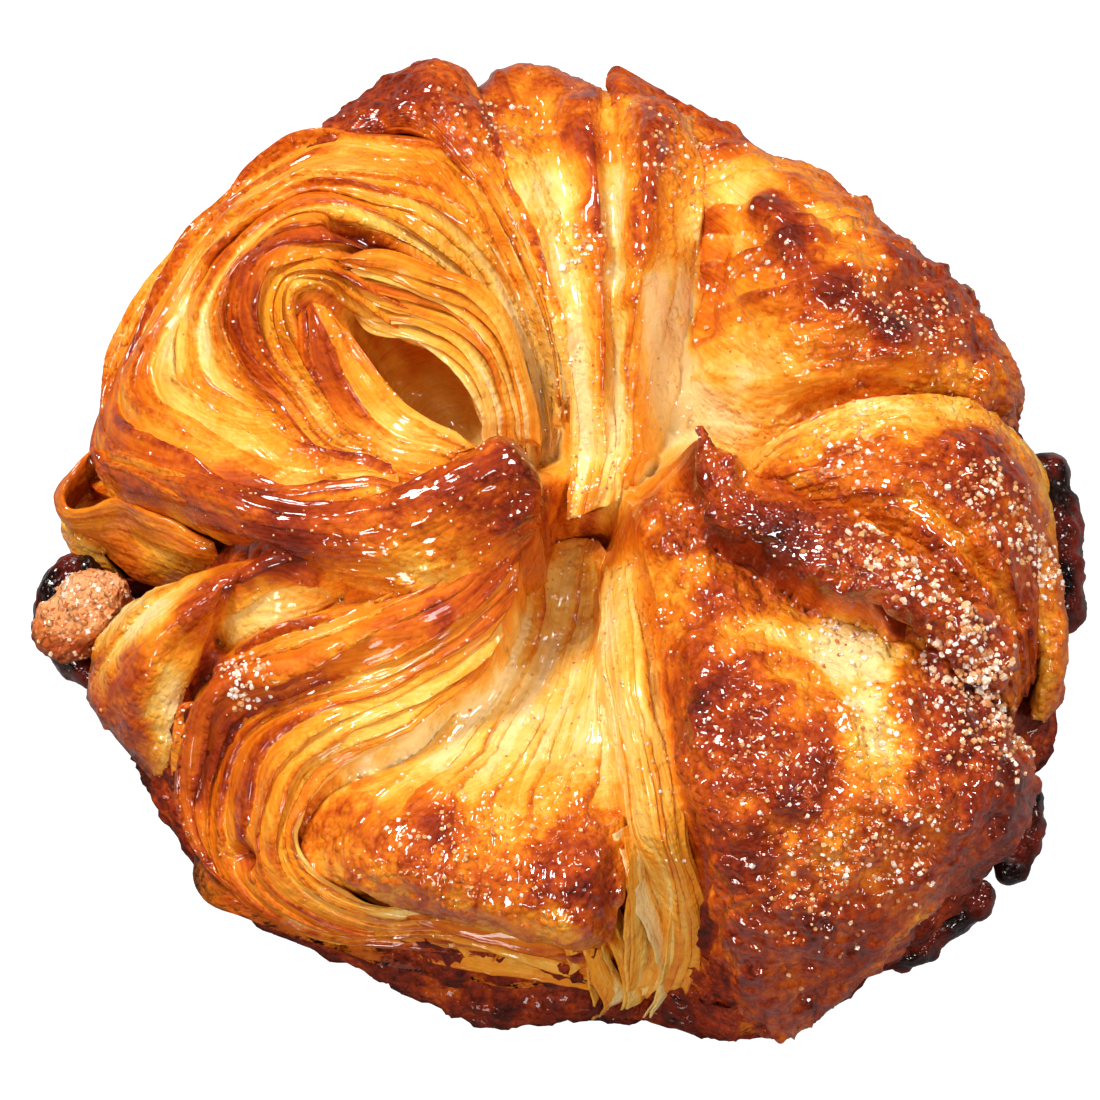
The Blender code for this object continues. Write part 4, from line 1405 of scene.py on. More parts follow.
            ((9.8, 44.5, 24.5), (10, 34.8, 29), (9.6, 27.4, 28.5), (8.4, 19.8, 26), (8, 13.7, 22.5),
             (8, 9.1, 19), (7.4, 7, 18), (7.4, 4.6, 17.5)),
            ((12.5, 43.8, 24), (12.8, 34.5, 27), (12.3, 27.6, 25.5), (11, 20.1, 22.5),
             (10.3, 13.8, 19.5), (9.8, 9.4, 17), (9.4, 8, 16.5), (9.4, 6.2, 16)),
            ((15, 43.5, 21), (15.6, 33, 25.5), (14.8, 27.7, 22.5), (14, 20.5, 19), (13.3, 14.8, 17),
             (12.3, 11.3, 15), (11.6, 9.9, 14.5), (11.4, 8, 14)),
        ),
        layers=(1, 1, 1.5, 1.5, 1, 1.5, 1.5, 1),
        browns=(0.52, 0.52, 0.38, 0.62, 0.28, 0.34, 0.62, 0.42, 0.24),
        runs=(0.26, 0.14, 0.08, -0.06, -0.14, -0.20, -0.24, -0.20, -0.16), fray=1.0, lip=0.34,
        fine_lip=0.06, thickness=4.0, rough=0.4, crusts=(1.0, 1.0, 0.6, 0.3, 0.1, 0.0, 0.0), wet=1.4,
        swell=0.9, feet=(2.5, 0.0), dive=(0.0, 0.9), seed=20,
    ),
    Leaf(
        name="back_peak",
        guides=(
            ((-25.2, 39.8, 22), (-19.2, 40.2, 25), (-14.2, 39.6, 27), (-10.2, 36.3, 28),
             (-6.2, 30.5, 27.5), (-2.7, 23.8, 25.5), (-0.4, 18.2, 22), (0.6, 12.2, 18)),
            ((-23.4, 41.9, 22), (-18.2, 42.4, 25.5), (-13.2, 42.2, 28), (-9.4, 38, 29),
             (-5.5, 31.7, 28.5), (-2, 24.7, 26), (0.1, 18.5, 22.5), (1, 12.2, 18)),
            ((-21.7, 44.7, 20), (-16.7, 45, 25), (-12, 45.5, 27), (-8.4, 40, 28), (-4.7, 33, 28),
             (-1.2, 25.4, 26), (0.6, 18.5, 22.5), (1.4, 12.2, 18)),
            ((-21.6, 45.6, 19), (-16.4, 48.4, 21), (-11.7, 50.3, 22), (-8, 46.6, 23.5), (-4, 35.3, 25),
             (-0.6, 26.9, 24), (1, 19.1, 21), (1.7, 12.7, 17)),
            ((-24.0, 40.2, 12), (-18.8, 45.2, 11.5), (-12.5, 49.2, 12), (-7.5, 47.2, 14),
             (-3.6, 35.6, 22), (-0.3, 26.9, 22), (1.2, 19.1, 19), (1.8, 12.7, 15)),
            ((-24.4, 37.0, 6), (-19.4, 42.0, 3.5), (-12.8, 46.8, 2.5), (-6.5, 46.4, 4),
             (-3.2, 35.8, 19), (-0.1, 26.9, 20), (1.3, 19.1, 17), (1.9, 12.7, 13)),
        ),
        layers=(3, 2, 2, 3, 2), browns=(0.54, 0.64, 0.66, 0.58, 0.60, 0.76),
        runs=(0.16, 0.14, 0.06, -0.04, -0.14, -0.24, -0.32, -0.34), lip=0.5, thickness=4.0, rough=0.55,
        crusts=(0.8, 0.9, 0.4, 0.0, 0.0), dive=(0.0, 0.9), seed=21,
    ),
    Leaf(
        name="back_horn",
        guides=(
            ((5.2, 46.8, 21), (6.2, 50.8, 20), (9.6, 49, 20), (13.3, 46.4, 20), (17, 44.9, 19.5),
             (21, 43.4, 18.5)),
            ((5, 43.5, 24), (7, 44.5, 24.5), (10, 43.5, 24.5), (14, 42, 23.5), (18, 41, 22.5),
             (21.5, 39.8, 21)),
        ),
        layers=(2,), browns=(0.74, 0.52), lip=0.25, rough=0.5, crusts=(0.8, 0.8), thickness=1.2,
        seed=23,
    ),
)

CREASES: tuple[Crease, ...] = (
    # The first crease is the long deep gap in the swirl; the brown it adds there is painted shade.
    Crease(((-21.2, 27.3), (-17.7, 26.4), (-14.2, 24.6), (-10.7, 22.9), (-7.7, 21.1)), 0.9, 3.4, 0.34),
    Crease(((16.6, 28.9), (15.1, 19.7)), 1.0, 0.9, 0.04),
    Crease(((21.3, 30.2), (23.8, 25.0), (25.8, 21.2), (30.8, 18.0), (34.3, 16.0)), 1.5, -1.1, 0.20),
    Crease(((24.8, 30.6), (28.4, 27.6), (31.8, 24.9)), 1.3, 0.8, -0.20),
    Crease(((38.0, 26.0), (34.0, 21.0)), 1.2, 0.9, -0.06),
    Crease(((18.5, 33.0), (18.0, 22.0), (19.0, 14.0)), 1.6, 0.7, -0.12),
    Crease(((4.0, 39.5), (4.5, 34.5), (4.8, 29.4)), 0.9, 1.3, 0.22),
    Crease(((10.3, 40.6), (9.9, 36.1), (8.8, 28.5), (8.0, 22.0)), 1.1, -1.0, 0.14),
    Crease(((6.3, 39.7), (6.3, 24.7)), 0.8, 0.3, -0.22),
    Crease(((10.8, 23.0), (13.2, 13.6)), 2.4, 0.8, -0.38),
    Crease(((0.5, 36.0), (1.5, 24.0)), 2.0, 0.6, -0.12),
    Crease(((2.2, 18.0), (3.6, 9.0)), 1.8, 0.2, -0.22),
    Crease(((-31.3, -8.8), (-35.1, -16.9)), 0.7, 2.0, 0.10),
    Crease(((-31.7, -20.8), (-33.7, -24.0), (-34.7, -26.7)), 0.8, 0.3, 0.26),
    Crease(((-30.8, -32.8), (-30.0, -33.8)), 0.8, 2.0, 0.35),
    Crease(((14.8, -0.3), (18.8, -5.7), (23.5, -9.0)), 1.7, 0.0, 0.14),
    Crease(((34.8, -1.2), (45.8, -11.2)), 0.9, 0.9, -0.16),
    Crease(((25.9, -17.8), (33.6, -28.1)), 2.2, 0.7, -0.14),
    Crease(((22.3, -39.4), (23.8, -47.8)), 2.0, 0.6, -0.12),
    Crease(((13.8, -16.7), (16.8, -30.0), (18.8, -44.0)), 2.4, -0.7, 0.05),
    Crease(((-30.2, -1.2), (-25.2, -2.8)), 1.8, 0.0, 0.12),
    Crease(((-37.2, 15.9), (-37.4, 22.4), (-35.7, 27.8), (-31.2, 30.1)), 1.2, 0.4, -0.24),
    Crease(((-34.2, 24.1), (-35.2, 19.3), (-34.2, 14.4), (-30.2, 9.7), (-25.7, 6.3)), 1.1, 0.3, -0.20),
    Crease(
        ((-29.7, 23.1), (-30.7, 17.7), (-29.2, 13.2), (-26.7, 9.3), (-24.2, 4.5), (-22.2, 0.7)),
        0.9, -0.5, 0.14,
    ),
    Crease(((-30.0, -9.0), (-24.0, -12.0)), 2.6, 0.2, -0.18),
    Crease(((-20.0, -6.5), (-13.0, -8.5)), 2.2, 0.0, -0.12),
    Crease(((-8.0, 33.0), (-3.0, 24.0), (-1.0, 16.0)), 2.0, 0.2, -0.16),
)

CORE_STAINS = tuple(Stain(*row) for row in (
    (0.0, -43.0, 7.0, -0.30), (-11.0, -41.5, 6.0, -0.30), (11.0, 14.0, 5.0, -0.16),
    (9.0, 6.0, 4.0, -0.14), (3.6, 2.4, 3.0, 0.16), (-12.7, 15.8, 6.0, -0.10),
    (-13.0, -24.5, 6.0, -0.22), (-21.0, -29.0, 4.0, -0.22),
))

STAINS = tuple(Stain(*row) for row in (
    (19.8, -6.1, 3.0, 0.14), (22.5, -8.5, 2.5, 0.14), (18.5, -24.5, 4.0, 0.22),
    (18.3, -22.5, 2.6, 0.16), (24.0, -34.0, 3.6, 0.24), (15.5, -16.0, 4.0, 0.08),
    (13.5, -5.0, 3.5, 0.12), (21.0, -41.0, 5.0, 0.10), (28.0, -44.0, 4.0, 0.16),
    (38.0, -24.0, 5.0, 0.30), (42.0, -30.0, 5.0, 0.26), (29.5, -17.0, 4.5, -0.26),
    (32.5, -26.0, 4.5, -0.18), (13.0, -9.5, 2.5, -0.16), (27.5, -37.5, 2.8, -0.12),
    (-14.5, -32.0, 5.0, 0.20), (-9.5, -33.5, 2.6, 0.08), (2.2, -36.8, 4.8, 0.24),
    (3.6, -40.5, 2.2, 0.12), (-5.5, -35.0, 3.4, -0.12), (-11.0, -12.0, 1.4, 0.24),
    (-3.0, -1.0, 3.4, 0.12), (-27.5, -5.5, 3.0, 0.20), (-31.5, -7.8, 2.4, 0.18),
    (-35.0, -10.5, 2.0, 0.16), (-40.0, -9.0, 3.0, -0.16), (-41.5, -15.0, 2.2, 0.16),
    (-38.0, -17.5, 2.5, -0.20), (-2.5, 34.0, 3.5, -0.12), (30.0, 31.0, 3.5, -0.10),
    (17.0, 12.5, 3.5, -0.12), (-30.0, 1.0, 3.0, 0.14), (4.0, 39.5, 2.8, 0.26),
    (3.4, 31.5, 2.0, 0.10), (-5.5, 45.0, 3.0, 0.16), (-16.5, 44.5, 3.5, 0.22),
    (21.6, 30.4, 1.7, 0.26), (24.2, 25.2, 2.2, 0.30), (28.6, 20.4, 2.4, 0.30),
    (32.6, 17.6, 2.2, 0.26), (38.5, 22.0, 6.5, 0.16), (18.5, 20.0, 4.5, -0.06),
    (41.5, 4.5, 3.0, 0.34), (44.8, 2.0, 2.4, 0.18),
))


# --- the core -----------------------------------------------------------------------


class Core:
    """The plain crust under the leaves: a baked foot and wall, and a top that follows the leaves."""

    segments: int = 420
    rings: int = 210
    under: float = 0.9
    foot_share: float = 0.22
    wall_share: float = 0.50
    base_ratio: float = 0.955
    lowest_rim: float = 5.0
    highest_rim: float = 13.0
    inset: float = 0.5
    probe_height: float = 9.5
    probe_from: float = 90.0
    no_wall: float = 45.0
    rim_window: int = 9
    lowest_top: float = 3.0
    lid_slope: float = 60.0
    notch: float = 281.0
    notch_depth: float = 1.7
    notch_width: float = 0.22
    ledge: float = 247.0
    ledge_depth: float = 1.7
    ledge_width: float = 0.42

    def __init__(self, node: bpy.types.Object, ground: Ground, pits: tuple[Pit, ...]) -> None:
        """Keeps the leaves' heights, the hollows and the outline of the frame's solid."""
        self.ground = ground
        self.pits = pits
        mesh = node.data
        points = [tuple(row) for row in vectors(mesh, "co") / MM]
        faces = [tuple(face.vertices) for face in mesh.polygons]
        tree = BVHTree.FromPolygons(points, faces)
        self.directions = np.linspace(0, 2 * math.pi, 361)
        self.outer = np.array([self.reach(tree, turn) for turn in self.directions]) - self.inset
        away = np.abs(self.directions - math.radians(self.notch))
        self.outer -= self.notch_depth * np.exp(-((away / self.notch_width) ** 2))
        away = np.abs(self.directions - math.radians(self.ledge))
        self.outer += self.ledge_depth * np.exp(-((away / self.ledge_width) ** 2))
        self.rim = self.rim_heights()

    def reach(self, tree: BVHTree, turn: float) -> float:
        """Distance from the middle to the solid's wall in a direction."""
        x, y = math.cos(turn) * self.probe_from, math.sin(turn) * self.probe_from
        outside = Vector((x, y, self.probe_height))
        hit = tree.ray_cast(outside, Vector((-outside.x, -outside.y, 0)).normalized())[0]
        return math.hypot(hit.x, hit.y) if hit else self.no_wall

    def rim_heights(self) -> np.ndarray:
        """Height of the wall's top in each direction, a little under the leaves' feet."""
        near = self.outer * 0.95
        heights = self.top(near * np.cos(self.directions), near * np.sin(self.directions))
        heights = np.clip(heights - 1.0, self.lowest_rim, self.highest_rim)
        window = self.rim_window
        ring = np.concatenate((heights[-window:-1], heights[:-1], heights[:window]))
        mean = np.convolve(ring, np.ones(window) / window, mode="same")
        return mean[window - 1:window - 1 + len(self.directions)]

    def top(self, x: np.ndarray, y: np.ndarray) -> np.ndarray:
        """Height of the core's top over each place."""
        cover = self.ground.sample(self.ground.cover, x, y)
        height = self.ground.sample(self.ground.soft, x, y) - self.under * (0.4 + 0.6 * cover)
        for pit in self.pits:
            turn = math.radians(pit.turn)
            along = (x - pit.x) * math.cos(turn) + (y - pit.y) * math.sin(turn)
            side = (y - pit.y) * math.cos(turn) - (x - pit.x) * math.sin(turn)
            off = (along / pit.length) ** 2 + (side / pit.width) ** 2
            height = height - pit.depth * np.exp(-(off ** 2))
        return np.maximum(height, self.lowest_top)

    def places(self, turn: np.ndarray, depth: np.ndarray) -> np.ndarray:
        """Places of the core for turns about the middle and shares from base to top."""
        outer = np.interp(turn % (2 * math.pi), self.directions, self.outer)
        rim = np.interp(turn % (2 * math.pi), self.directions, self.rim)
        base = np.clip(depth / self.foot_share, 0, 1)
        climb = np.clip((depth - self.foot_share) / (self.wall_share - self.foot_share), 0, 1)
        inward = np.clip((depth - self.wall_share) / (1 - self.wall_share), 0, 1)
        bulge = self.base_ratio + (1 - self.base_ratio) * np.sin(np.clip(climb * 1.6, 0, 1) * math.pi / 2)
        bulge = bulge - 0.05 * smooth_step((climb - 0.6) / 0.4)
        foot = depth < self.foot_share
        radius = np.where(foot, outer * self.base_ratio * base, outer * bulge * (1 - inward))
        x = radius * np.cos(turn)
        y = radius * np.sin(turn)
        lid = np.minimum(rim + inward * self.lid_slope, self.top(x, y))
        z = np.where(foot, 0.0, np.where(depth < self.wall_share, rim * climb, lid))
        return np.stack((x, y, z), axis=-1)

    def build(self, finish: bpy.types.Material) -> bpy.types.Object:
        """Makes the core from a sphere primitive whose rings become base, wall and top.

        Args:
            finish: the dough's material.

        Returns:
            The finished core.
        """
        bpy.ops.object.select_all(action="DESELECT")
        bpy.ops.mesh.primitive_uv_sphere_add(segments=self.segments, ring_count=self.rings, radius=1)
        made = added("core")
        mesh = made.data
        flat = vectors(mesh, "co")
        turn = np.arctan2(flat[:, 1], flat[:, 0])
        depth = 1 - np.arccos(np.clip(flat[:, 2], -1, 1)) / math.pi
        places = self.places(turn, depth)
        x, y, z = places.T
        wall = smooth_step((depth - self.foot_share) * 14) * smooth_step((0.62 - depth) * 12)
        out = np.stack((np.cos(turn), np.sin(turn), np.zeros(len(turn))), axis=-1)
        sheets = layer_profile((z / 1.1 + 0.7 * noise(x / 6, y / 6, z / 5, 31)) % 1.0)
        crust = ripples(x / 2.4, y / 2.4, z / 2.0, 32, 4)
        drips = noise(turn * 14, z / 9, 0.5, 33)
        places = places + out * (wall * (0.4 * sheets + 0.9 * crust + 0.5 * drips))[:, None]
        over = smooth_step((depth - 0.55) * 12)
        places[:, 2] += over * 0.12 * ripples(x / 3.0, y / 3.0, z / 3.0, 34, 2)
        mesh.vertices.foreach_set("co", (places * MM).ravel())
        low = np.clip(1 - z / 8.0, 0, 1)
        burnt = np.clip(0.74 + 0.20 * low + 0.22 * crust + 0.05 * sheets, 0.4, 0.98)
        lid = self.ground.sample(self.ground.brown, x, y) + 0.06 + 0.1 * crust + stained(CORE_STAINS, x, y)
        browning = np.where(depth < self.foot_share, 0.78, burnt * (1 - over) + lid * over)
        write_number(mesh, "browning", browning)
        write_number(mesh, "groove", np.zeros(len(x)))
        write_number(mesh, "wetness", 0.2 + 0.9 * over)
        write_number(mesh, "crust", 1.0 - over)
        write_flow(mesh, np.stack((turn * 47, z + np.hypot(x, y), np.zeros(len(x))), axis=-1))
        dress(made, finish)
        bpy.ops.object.shade_smooth()
        return made


PITS: tuple[Pit, ...] = (
    Pit(-12.7, 15.8, 7.0, 5.0, -42, 13),
    Pit(3.6, 2.6, 3.2, 2.6, 0, 4),
    Pit(-45.4, 6.2, 3.0, 1.5, -15, 5),
    Pit(-43.4, 0.8, 5.0, 2.4, -32, 5),
    Pit(-43.2, -2.4, 4.0, 1.8, -40, 4),
    Pit(8.4, -37.2, 1.0, 4.0, 0, 5),
)


# --- sugar --------------------------------------------------------------------------


@dataclass(frozen=True)
class SugarPatch:
    """Where loose sugar grains lie, seen from above, in millimetres."""

    x: float
    y: float
    radius: float
    count: int
    size: float = 0.5
    white: float = 0.3


SUGAR = tuple(SugarPatch(*row) for row in (
    (30.0, -7.5, 4.0, 60, 0.45, 0.5), (35.0, -11.0, 4.0, 80, 0.48, 0.5),
    (39.5, -15.5, 4.0, 110, 0.5, 0.55), (41.5, -19.5, 3.0, 95, 0.5, 0.55),
    (38.0, -24.0, 5.5, 90, 0.4, 0.35), (43.0, -27.0, 4.5, 75, 0.4, 0.35),
    (45.5, -22.0, 3.5, 80, 0.42, 0.4), (27.5, -15.5, 4.0, 50, 0.4, 0.6),
    (31.0, -25.0, 5.0, 60, 0.4, 0.5), (19.0, -30.0, 7.0, 90, 0.3, 0.3),
    (25.0, -41.0, 6.0, 110, 0.36, 0.4), (33.0, -37.0, 6.0, 120, 0.36, 0.4),
    (29.0, 4.5, 5.0, 80, 0.4, 0.3), (43.5, -1.0, 5.0, 130, 0.4, 0.25),
    (47.5, -5.0, 3.5, 110, 0.42, 0.4), (35.0, 19.0, 8.0, 150, 0.32, 0.2),
    (19.5, 25.0, 6.0, 50, 0.4, 0.5), (3.5, 27.5, 3.0, 40, 0.42, 0.6),
    (-4.0, 42.0, 5.0, 80, 0.34, 0.25), (12.0, 37.0, 6.0, 110, 0.34, 0.15),
    (-30.0, -17.5, 2.6, 90, 0.4, 0.7), (-8.0, -35.5, 8.0, 120, 0.34, 0.15),
    (-46.5, -5.0, 5.0, 150, 0.36, 0.3), (0.0, 0.0, 46.0, 1400, 0.20, 0.5),
))


class Sprinkle:
    """Sugar grains pressed into the crust: small chamfered blocks joined in one mesh."""

    sink: float = 0.02
    chamfer: float = 0.16
    falloff: float = 2.2
    reach: float = 1.6
    open_depth: float = 0.5
    least_upward: float = 0.2
    seed: int = 5

    def __init__(self, skins: list[Skin], ground: Ground) -> None:
        """Finds the places of the leaves that lie open to the sky."""
        places = np.concatenate([skin.places.reshape(-1, 3) for skin in skins])
        outward = np.concatenate([skin.outward.reshape(-1, 3) for skin in skins])
        top = ground.height[ground.index(places[:, 0], places[:, 1])]
        clear = (places[:, 2] > top - self.open_depth) & (outward[:, 2] > self.least_upward)
        self.places = places[clear]
        self.outward = outward[clear]

    def add_piece(self, piece: bpy.types.Object) -> None:
        """Lets grains lie on the upper side of another piece too."""
        outward = vectors(piece.data, "normal")
        upper = outward[:, 2] > 0.0
        self.places = np.concatenate((self.places, vectors(piece.data, "co")[upper] / MM))
        self.outward = np.concatenate((self.outward, outward[upper]))

    def spots(
        self, patches: tuple[SugarPatch, ...], random: np.random.Generator
    ) -> tuple[np.ndarray, np.ndarray, np.ndarray]:
        """Picks a place for each grain.

        Args:
            patches: where the grains lie.
            random: the seeded source of chance.

        Returns:
            For each grain the number of its place, its size and its tint.
        """
        picked, sizes, tints = [], [], []
        for patch in patches:
            off = np.hypot(self.places[:, 0] - patch.x, self.places[:, 1] - patch.y) / patch.radius
            weight = np.exp(-self.falloff * off ** 2) * (off < self.reach)
            chosen = random.choice(len(weight), patch.count, p=weight / weight.sum())
            picked.append(chosen)
            sizes.append(patch.size * random.uniform(0.5, 1.3, patch.count))
            pale = random.uniform(0, 1, patch.count) < patch.white
            light = random.uniform(0.6, 1.0, patch.count)
            dark = random.uniform(0.0, 0.5, patch.count)
            tints.append(np.where(pale, light, dark))
        return np.concatenate(picked), np.concatenate(sizes), np.concatenate(tints)

    def build(self, patches: tuple[SugarPatch, ...], finish: bpy.types.Material) -> bpy.types.Object:
        """Makes all grains.

        Args:
            patches: where the grains lie.
            finish: the sugar's material.

        Returns:
            One mesh of grains.
        """
        random = np.random.default_rng(self.seed)
        spots, sizes, tints = self.spots(patches, random)
        bpy.ops.object.select_all(action="DESELECT")
        bpy.ops.mesh.primitive_cube_add(size=1)
        made = added("sugar_grains")
        apply_modifier(made, "BEVEL", width=self.chamfer, segments=1)
        apply_modifier(made, "ARRAY", count=len(spots), use_relative_offset=False)
        mesh = made.data
        block = vectors(mesh, "co").reshape(len(spots), -1, 3)
        block = block * (1 + 0.25 * random.uniform(-1, 1, block.shape))
        block = block * (sizes[:, None] * random.uniform(0.7, 1.2, (len(spots), 3)))[:, None, :]
        axes = unit(random.normal(size=(len(spots), 3)))
        other = unit(np.cross(axes, random.normal(size=(len(spots), 3))))
        frames = np.stack((axes, other, np.cross(axes, other)), axis=1)
        block = np.einsum("gvi,gij->gvj", block, frames)
        centre = self.places[spots] + self.outward[spots] * (self.sink * sizes)[:, None]
        mesh.vertices.foreach_set("co", ((block + centre[:, None, :]) * MM).ravel())
        write_number(mesh, "tint", np.repeat(tints, block.shape[1]))
        mesh.update()
        dress(made, finish)
        return made


# --- lumps on the rim ---------------------------------------------------------------


@dataclass(frozen=True)
class Lump:
    """A lump that takes over a frame node and grows a finer, rougher skin."""

    name: str
    node: str
    slot: Slot
    voxel: float = 0.28
    waves: float = 0.25
    grain: float = 0.08
    grow: float = 0.6
    shift: Point = (0.0, 0.0, 0.0)
    seed: int = 0
    melt_passes: int = 6

    def build(self, source: bpy.types.Object, finish: bpy.types.Material) -> bpy.types.Object:
        """Makes the lump from a copy of its node.

        Args:
            source: the frame's node.
            finish: the lump's material.

        Returns:
            The finished lump.
        """
        bpy.ops.object.select_all(action="DESELECT")
        made = bpy.data.objects.new(self.name, source.data.copy())
        bpy.context.scene.collection.objects.link(made)
        made.data.materials.clear()
        bpy.context.view_layer.objects.active = made
        made.select_set(True)
        bpy.ops.object.mode_set(mode="EDIT")
        bpy.ops.mesh.select_all(action="SELECT")
        bpy.ops.mesh.remove_doubles(threshold=1e-6)
        bpy.ops.mesh.normals_make_consistent(inside=False)
        bpy.ops.object.mode_set(mode="OBJECT")
        apply_modifier(made, "REMESH", mode="VOXEL", voxel_size=self.voxel * MM)
        apply_modifier(made, "SMOOTH", iterations=self.melt_passes)
        mesh = made.data
        count = len(mesh.vertices)
        places = vectors(mesh, "co") / MM
        outward = vectors(mesh, "normal")
        x, y, z = places.T
        lift = self.waves * ripples(x / 2.2, y / 2.2, z / 2.2, self.seed, 2)
        grain = ripples(x / 0.7, y / 0.7, z / 0.7, self.seed + 9, 2)
        lift = lift + self.grain * grain + self.grow
        places = places + outward * lift[:, None] + np.array(self.shift)
        places[:, 2] = np.maximum(places[:, 2], 0.2)
        mesh.vertices.foreach_set("co", (places * MM).ravel())
        high = ripples(x / 3, y / 3, z / 3, self.seed + 4, 2)
        low = smooth_step((12.5 - z - 0.6 * (y + 6.0)) / 5.0)
        write_number(mesh, "browning", np.clip(0.20 + 0.55 * low + 0.20 * high - 0.14 * grain, 0, 1))
        write_number(mesh, "groove", np.zeros(count))
        write_number(mesh, "wetness", np.full(count, 0.5))
        write_number(mesh, "crust", np.full(count, 0.8))
        mesh.update()
        bpy.ops.object.shade_smooth()
        mesh.materials.append(finish)
        return made


LUMPS: tuple[Lump, ...] = (
    Lump(
        "left_caramel", "caramel_left", Slot.CARAMEL,
        waves=0.5, grain=0.14, grow=0.2, shift=(-0.4, 1.0, 0.3), seed=101,
    ),
    Lump(
        "back_right_caramel", "caramel_right_back", Slot.CARAMEL,
        waves=0.9, grain=0.2, grow=1.1, shift=(0.4, -0.3, 0.0), seed=102,
    ),
    Lump(
        "right_caramel", "caramel_right", Slot.CARAMEL,
        waves=0.7, grain=0.14, grow=0.2, shift=(-0.8, 0.0, 0.0), seed=103,
    ),
    Lump(
        "front_right_caramel", "caramel_front_right", Slot.CARAMEL,
        waves=0.7, grain=0.14, grow=0.3, shift=(-1.2, 1.6, 0.0), seed=104,
    ),
    Lump(
        "sugared_knob", "crumb_knob", Slot.CRUMB,
        voxel=0.2, waves=0.45, grain=0.16, grow=-0.5, shift=(-0.8, 0.4, 0.2), seed=105,
    ),
)


# --- studio -------------------------------------------------------------------------


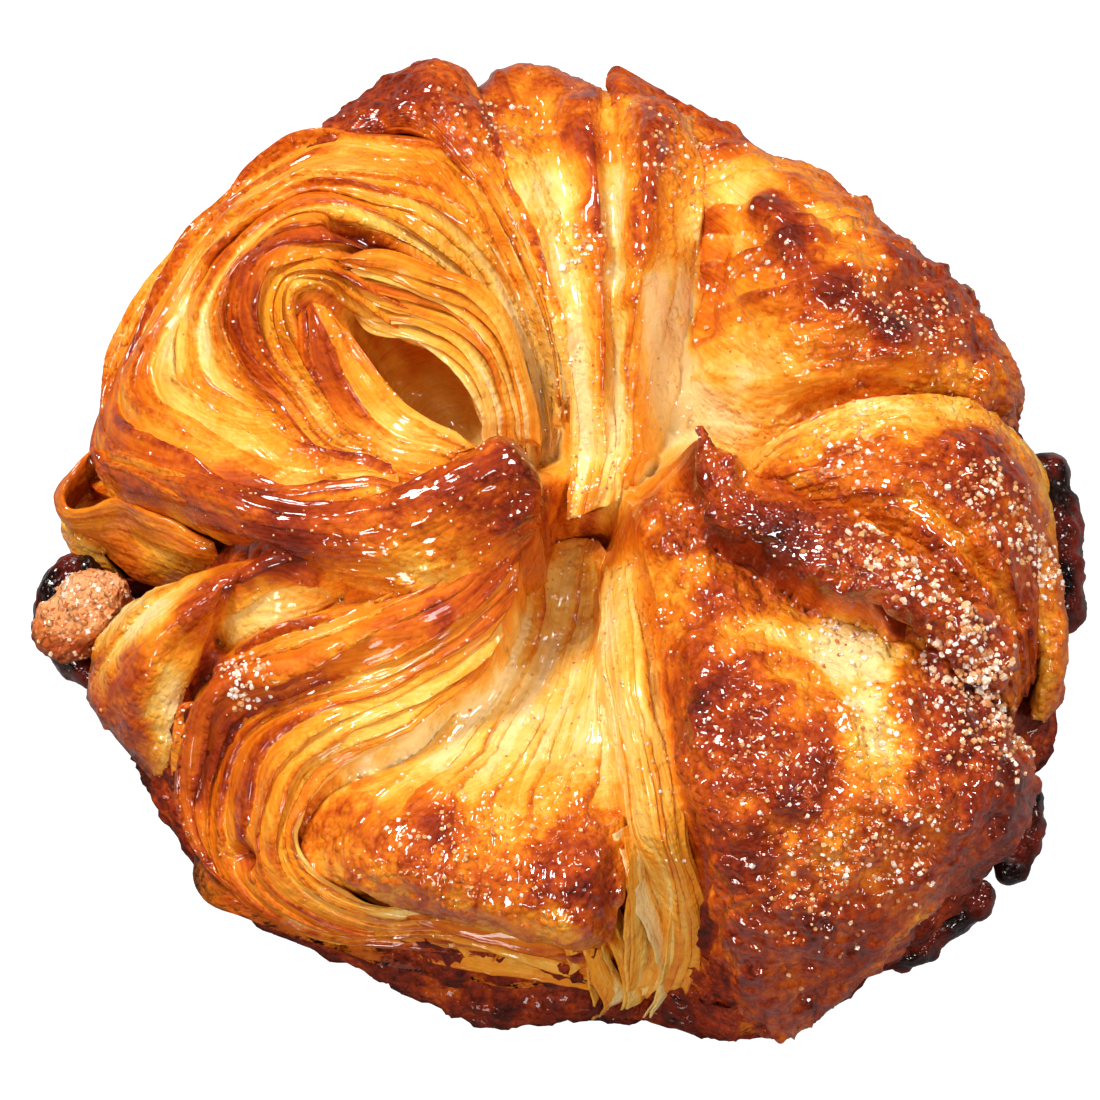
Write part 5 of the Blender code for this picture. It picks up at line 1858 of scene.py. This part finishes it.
@dataclass(frozen=True)
class Studio:
    """Floor, soft lights and the camera, in millimetres and degrees."""

    target: Point = (-0.2, -2.6, 20.0)
    elevation: float = 68.0
    distance: float = 700.0
    view_width: float = 108.8
    sensor: float = 36.0
    world_light: float = 0.13
    sparks: tuple[Point, ...] = (
        (-0.9, -0.3, 0.7), (0.1, 0.9, 0.6), (0.6, -0.6, 0.9),
        (0.0, -0.15, 1.0), (-0.5, -0.9, 0.5), (1.0, -0.5, 0.4),
    )
    light_distance: float = 420.0
    spark_size: float = 42.0
    spark_power: float = 0.16
    mirrored_share: float = 0.75
    floor_size: float = 4.0

    def add_camera(self) -> bpy.types.Object:
        """Adds the camera and makes it the scene's."""
        data = bpy.data.cameras.new("camera")
        camera = bpy.data.objects.new("camera", data)
        bpy.context.scene.collection.objects.link(camera)
        tilt = math.radians(self.elevation)
        back = Vector((0.0, -math.cos(tilt), math.sin(tilt)))
        camera.location = (Vector(self.target) + back * self.distance) * MM
        camera.rotation_euler = back.to_track_quat("Z", "Y").to_euler()
        data.sensor_width = self.sensor
        data.lens = self.sensor * self.distance / self.view_width
        data.clip_start = 0.01
        bpy.context.scene.camera = camera
        return camera

    def add_light(self, name: str, direction: Point, size: float, power: float, tint: Point) -> None:
        """Adds a soft square light that faces the pastry.

        Args:
            name: the light's name.
            direction: from the pastry towards the light, in any length.
            size: the side of the light.
            power: its power in watts.
            tint: its colour.
        """
        data = bpy.data.lights.new(name, "AREA")
        data.shape = "SQUARE"
        data.size = size * MM
        data.energy = power
        data.color = tint
        light = bpy.data.objects.new(name, data)
        bpy.context.scene.collection.objects.link(light)
        away = Vector(direction).normalized()
        light.location = (Vector(self.target) + away * self.light_distance) * MM
        light.rotation_euler = away.to_track_quat("Z", "Y").to_euler()

    def build(self) -> bpy.types.Object:
        """Builds the whole studio and returns its floor."""
        self.add_camera()
        self.add_light("key", (-0.5, 0.45, 1.0), 95.0, 2.0, (1.0, 0.98, 0.95))
        self.add_light("side", (0.9, 0.35, 0.8), 70.0, 0.8, (1.0, 0.99, 0.97))
        self.add_light("front", (-0.1, -0.9, 0.7), 80.0, 0.55, WHITE)
        for number, direction in enumerate(self.sparks):
            self.add_light(f"spark_{number + 1}", direction, self.spark_size, self.spark_power, WHITE)
        world = bpy.data.worlds.new("studio")
        bpy.context.scene.world = world
        world.use_nodes = True
        sky = world.node_tree.nodes["Background"]
        sky.inputs["Color"].default_value = (*WHITE, 1.0)
        sky_nodes = Nodes(world.node_tree)
        mirrored = sky_nodes.add("ShaderNodeLightPath").outputs["Is Glossy Ray"]
        dimmed = sky_nodes.math("MULTIPLY", mirrored, -self.mirrored_share * self.world_light)
        sky_nodes.link(sky_nodes.math("ADD", dimmed, self.world_light), sky.inputs["Strength"])
        bpy.context.scene.view_settings.view_transform = "Standard"
        bpy.ops.object.select_all(action="DESELECT")
        bpy.ops.mesh.primitive_plane_add(size=self.floor_size, location=(0, 0, -0.0002))
        floor = added("floor")
        floor.data.transform(floor.matrix_world)
        floor.location = (0, 0, 0)
        floor.data.materials.append(FloorFinish().build())
        return floor


# --- putting it together ------------------------------------------------------------


def keep(piece: bpy.types.Object, node: str | None = None) -> None:
    """Hands a finished piece to the frame.

    Args:
        piece: the finished piece.
        node: the frame node it stands for, if any.
    """
    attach(piece, "root")
    if node:
        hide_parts(node)
    LOG.info("%s: %d faces", piece.name, len(piece.data.polygons))


def main() -> None:
    """Builds every piece in order."""
    logging.basicConfig(level=logging.INFO, format="%(message)s")
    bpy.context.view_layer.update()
    dough = DoughFinish("glazed_dough").build()
    crumb = DoughFinish("sugared_crumb", coat=0.6, bump=0.0004, beads=1.0, stops=CRUMB_STOPS).build()
    caramel = CaramelFinish().build()
    floor = Studio().build()
    maker = LeafMaker(dough, STAINS, CREASES)
    sheets = [leaf for fan in FANS for leaf in fan.leaves()]
    for leaf in (*LEAVES, *sheets):
        keep(maker.build(leaf), "pastry")
    maker.ground.finish()
    core = Core(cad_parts["pastry"], maker.ground, PITS)
    keep(core.build(dough), "pastry")
    sprinkle = Sprinkle(maker.skins, maker.ground)
    for lump in LUMPS:
        finish = crumb if lump.slot is Slot.CRUMB else caramel
        piece = lump.build(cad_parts[lump.node], finish)
        keep(piece, lump.node)
        if lump.slot is Slot.CRUMB:
            sprinkle.add_piece(piece)
    keep(sprinkle.build(SUGAR, SugarFinish().build()))


if __name__ == "__main__":
    main()
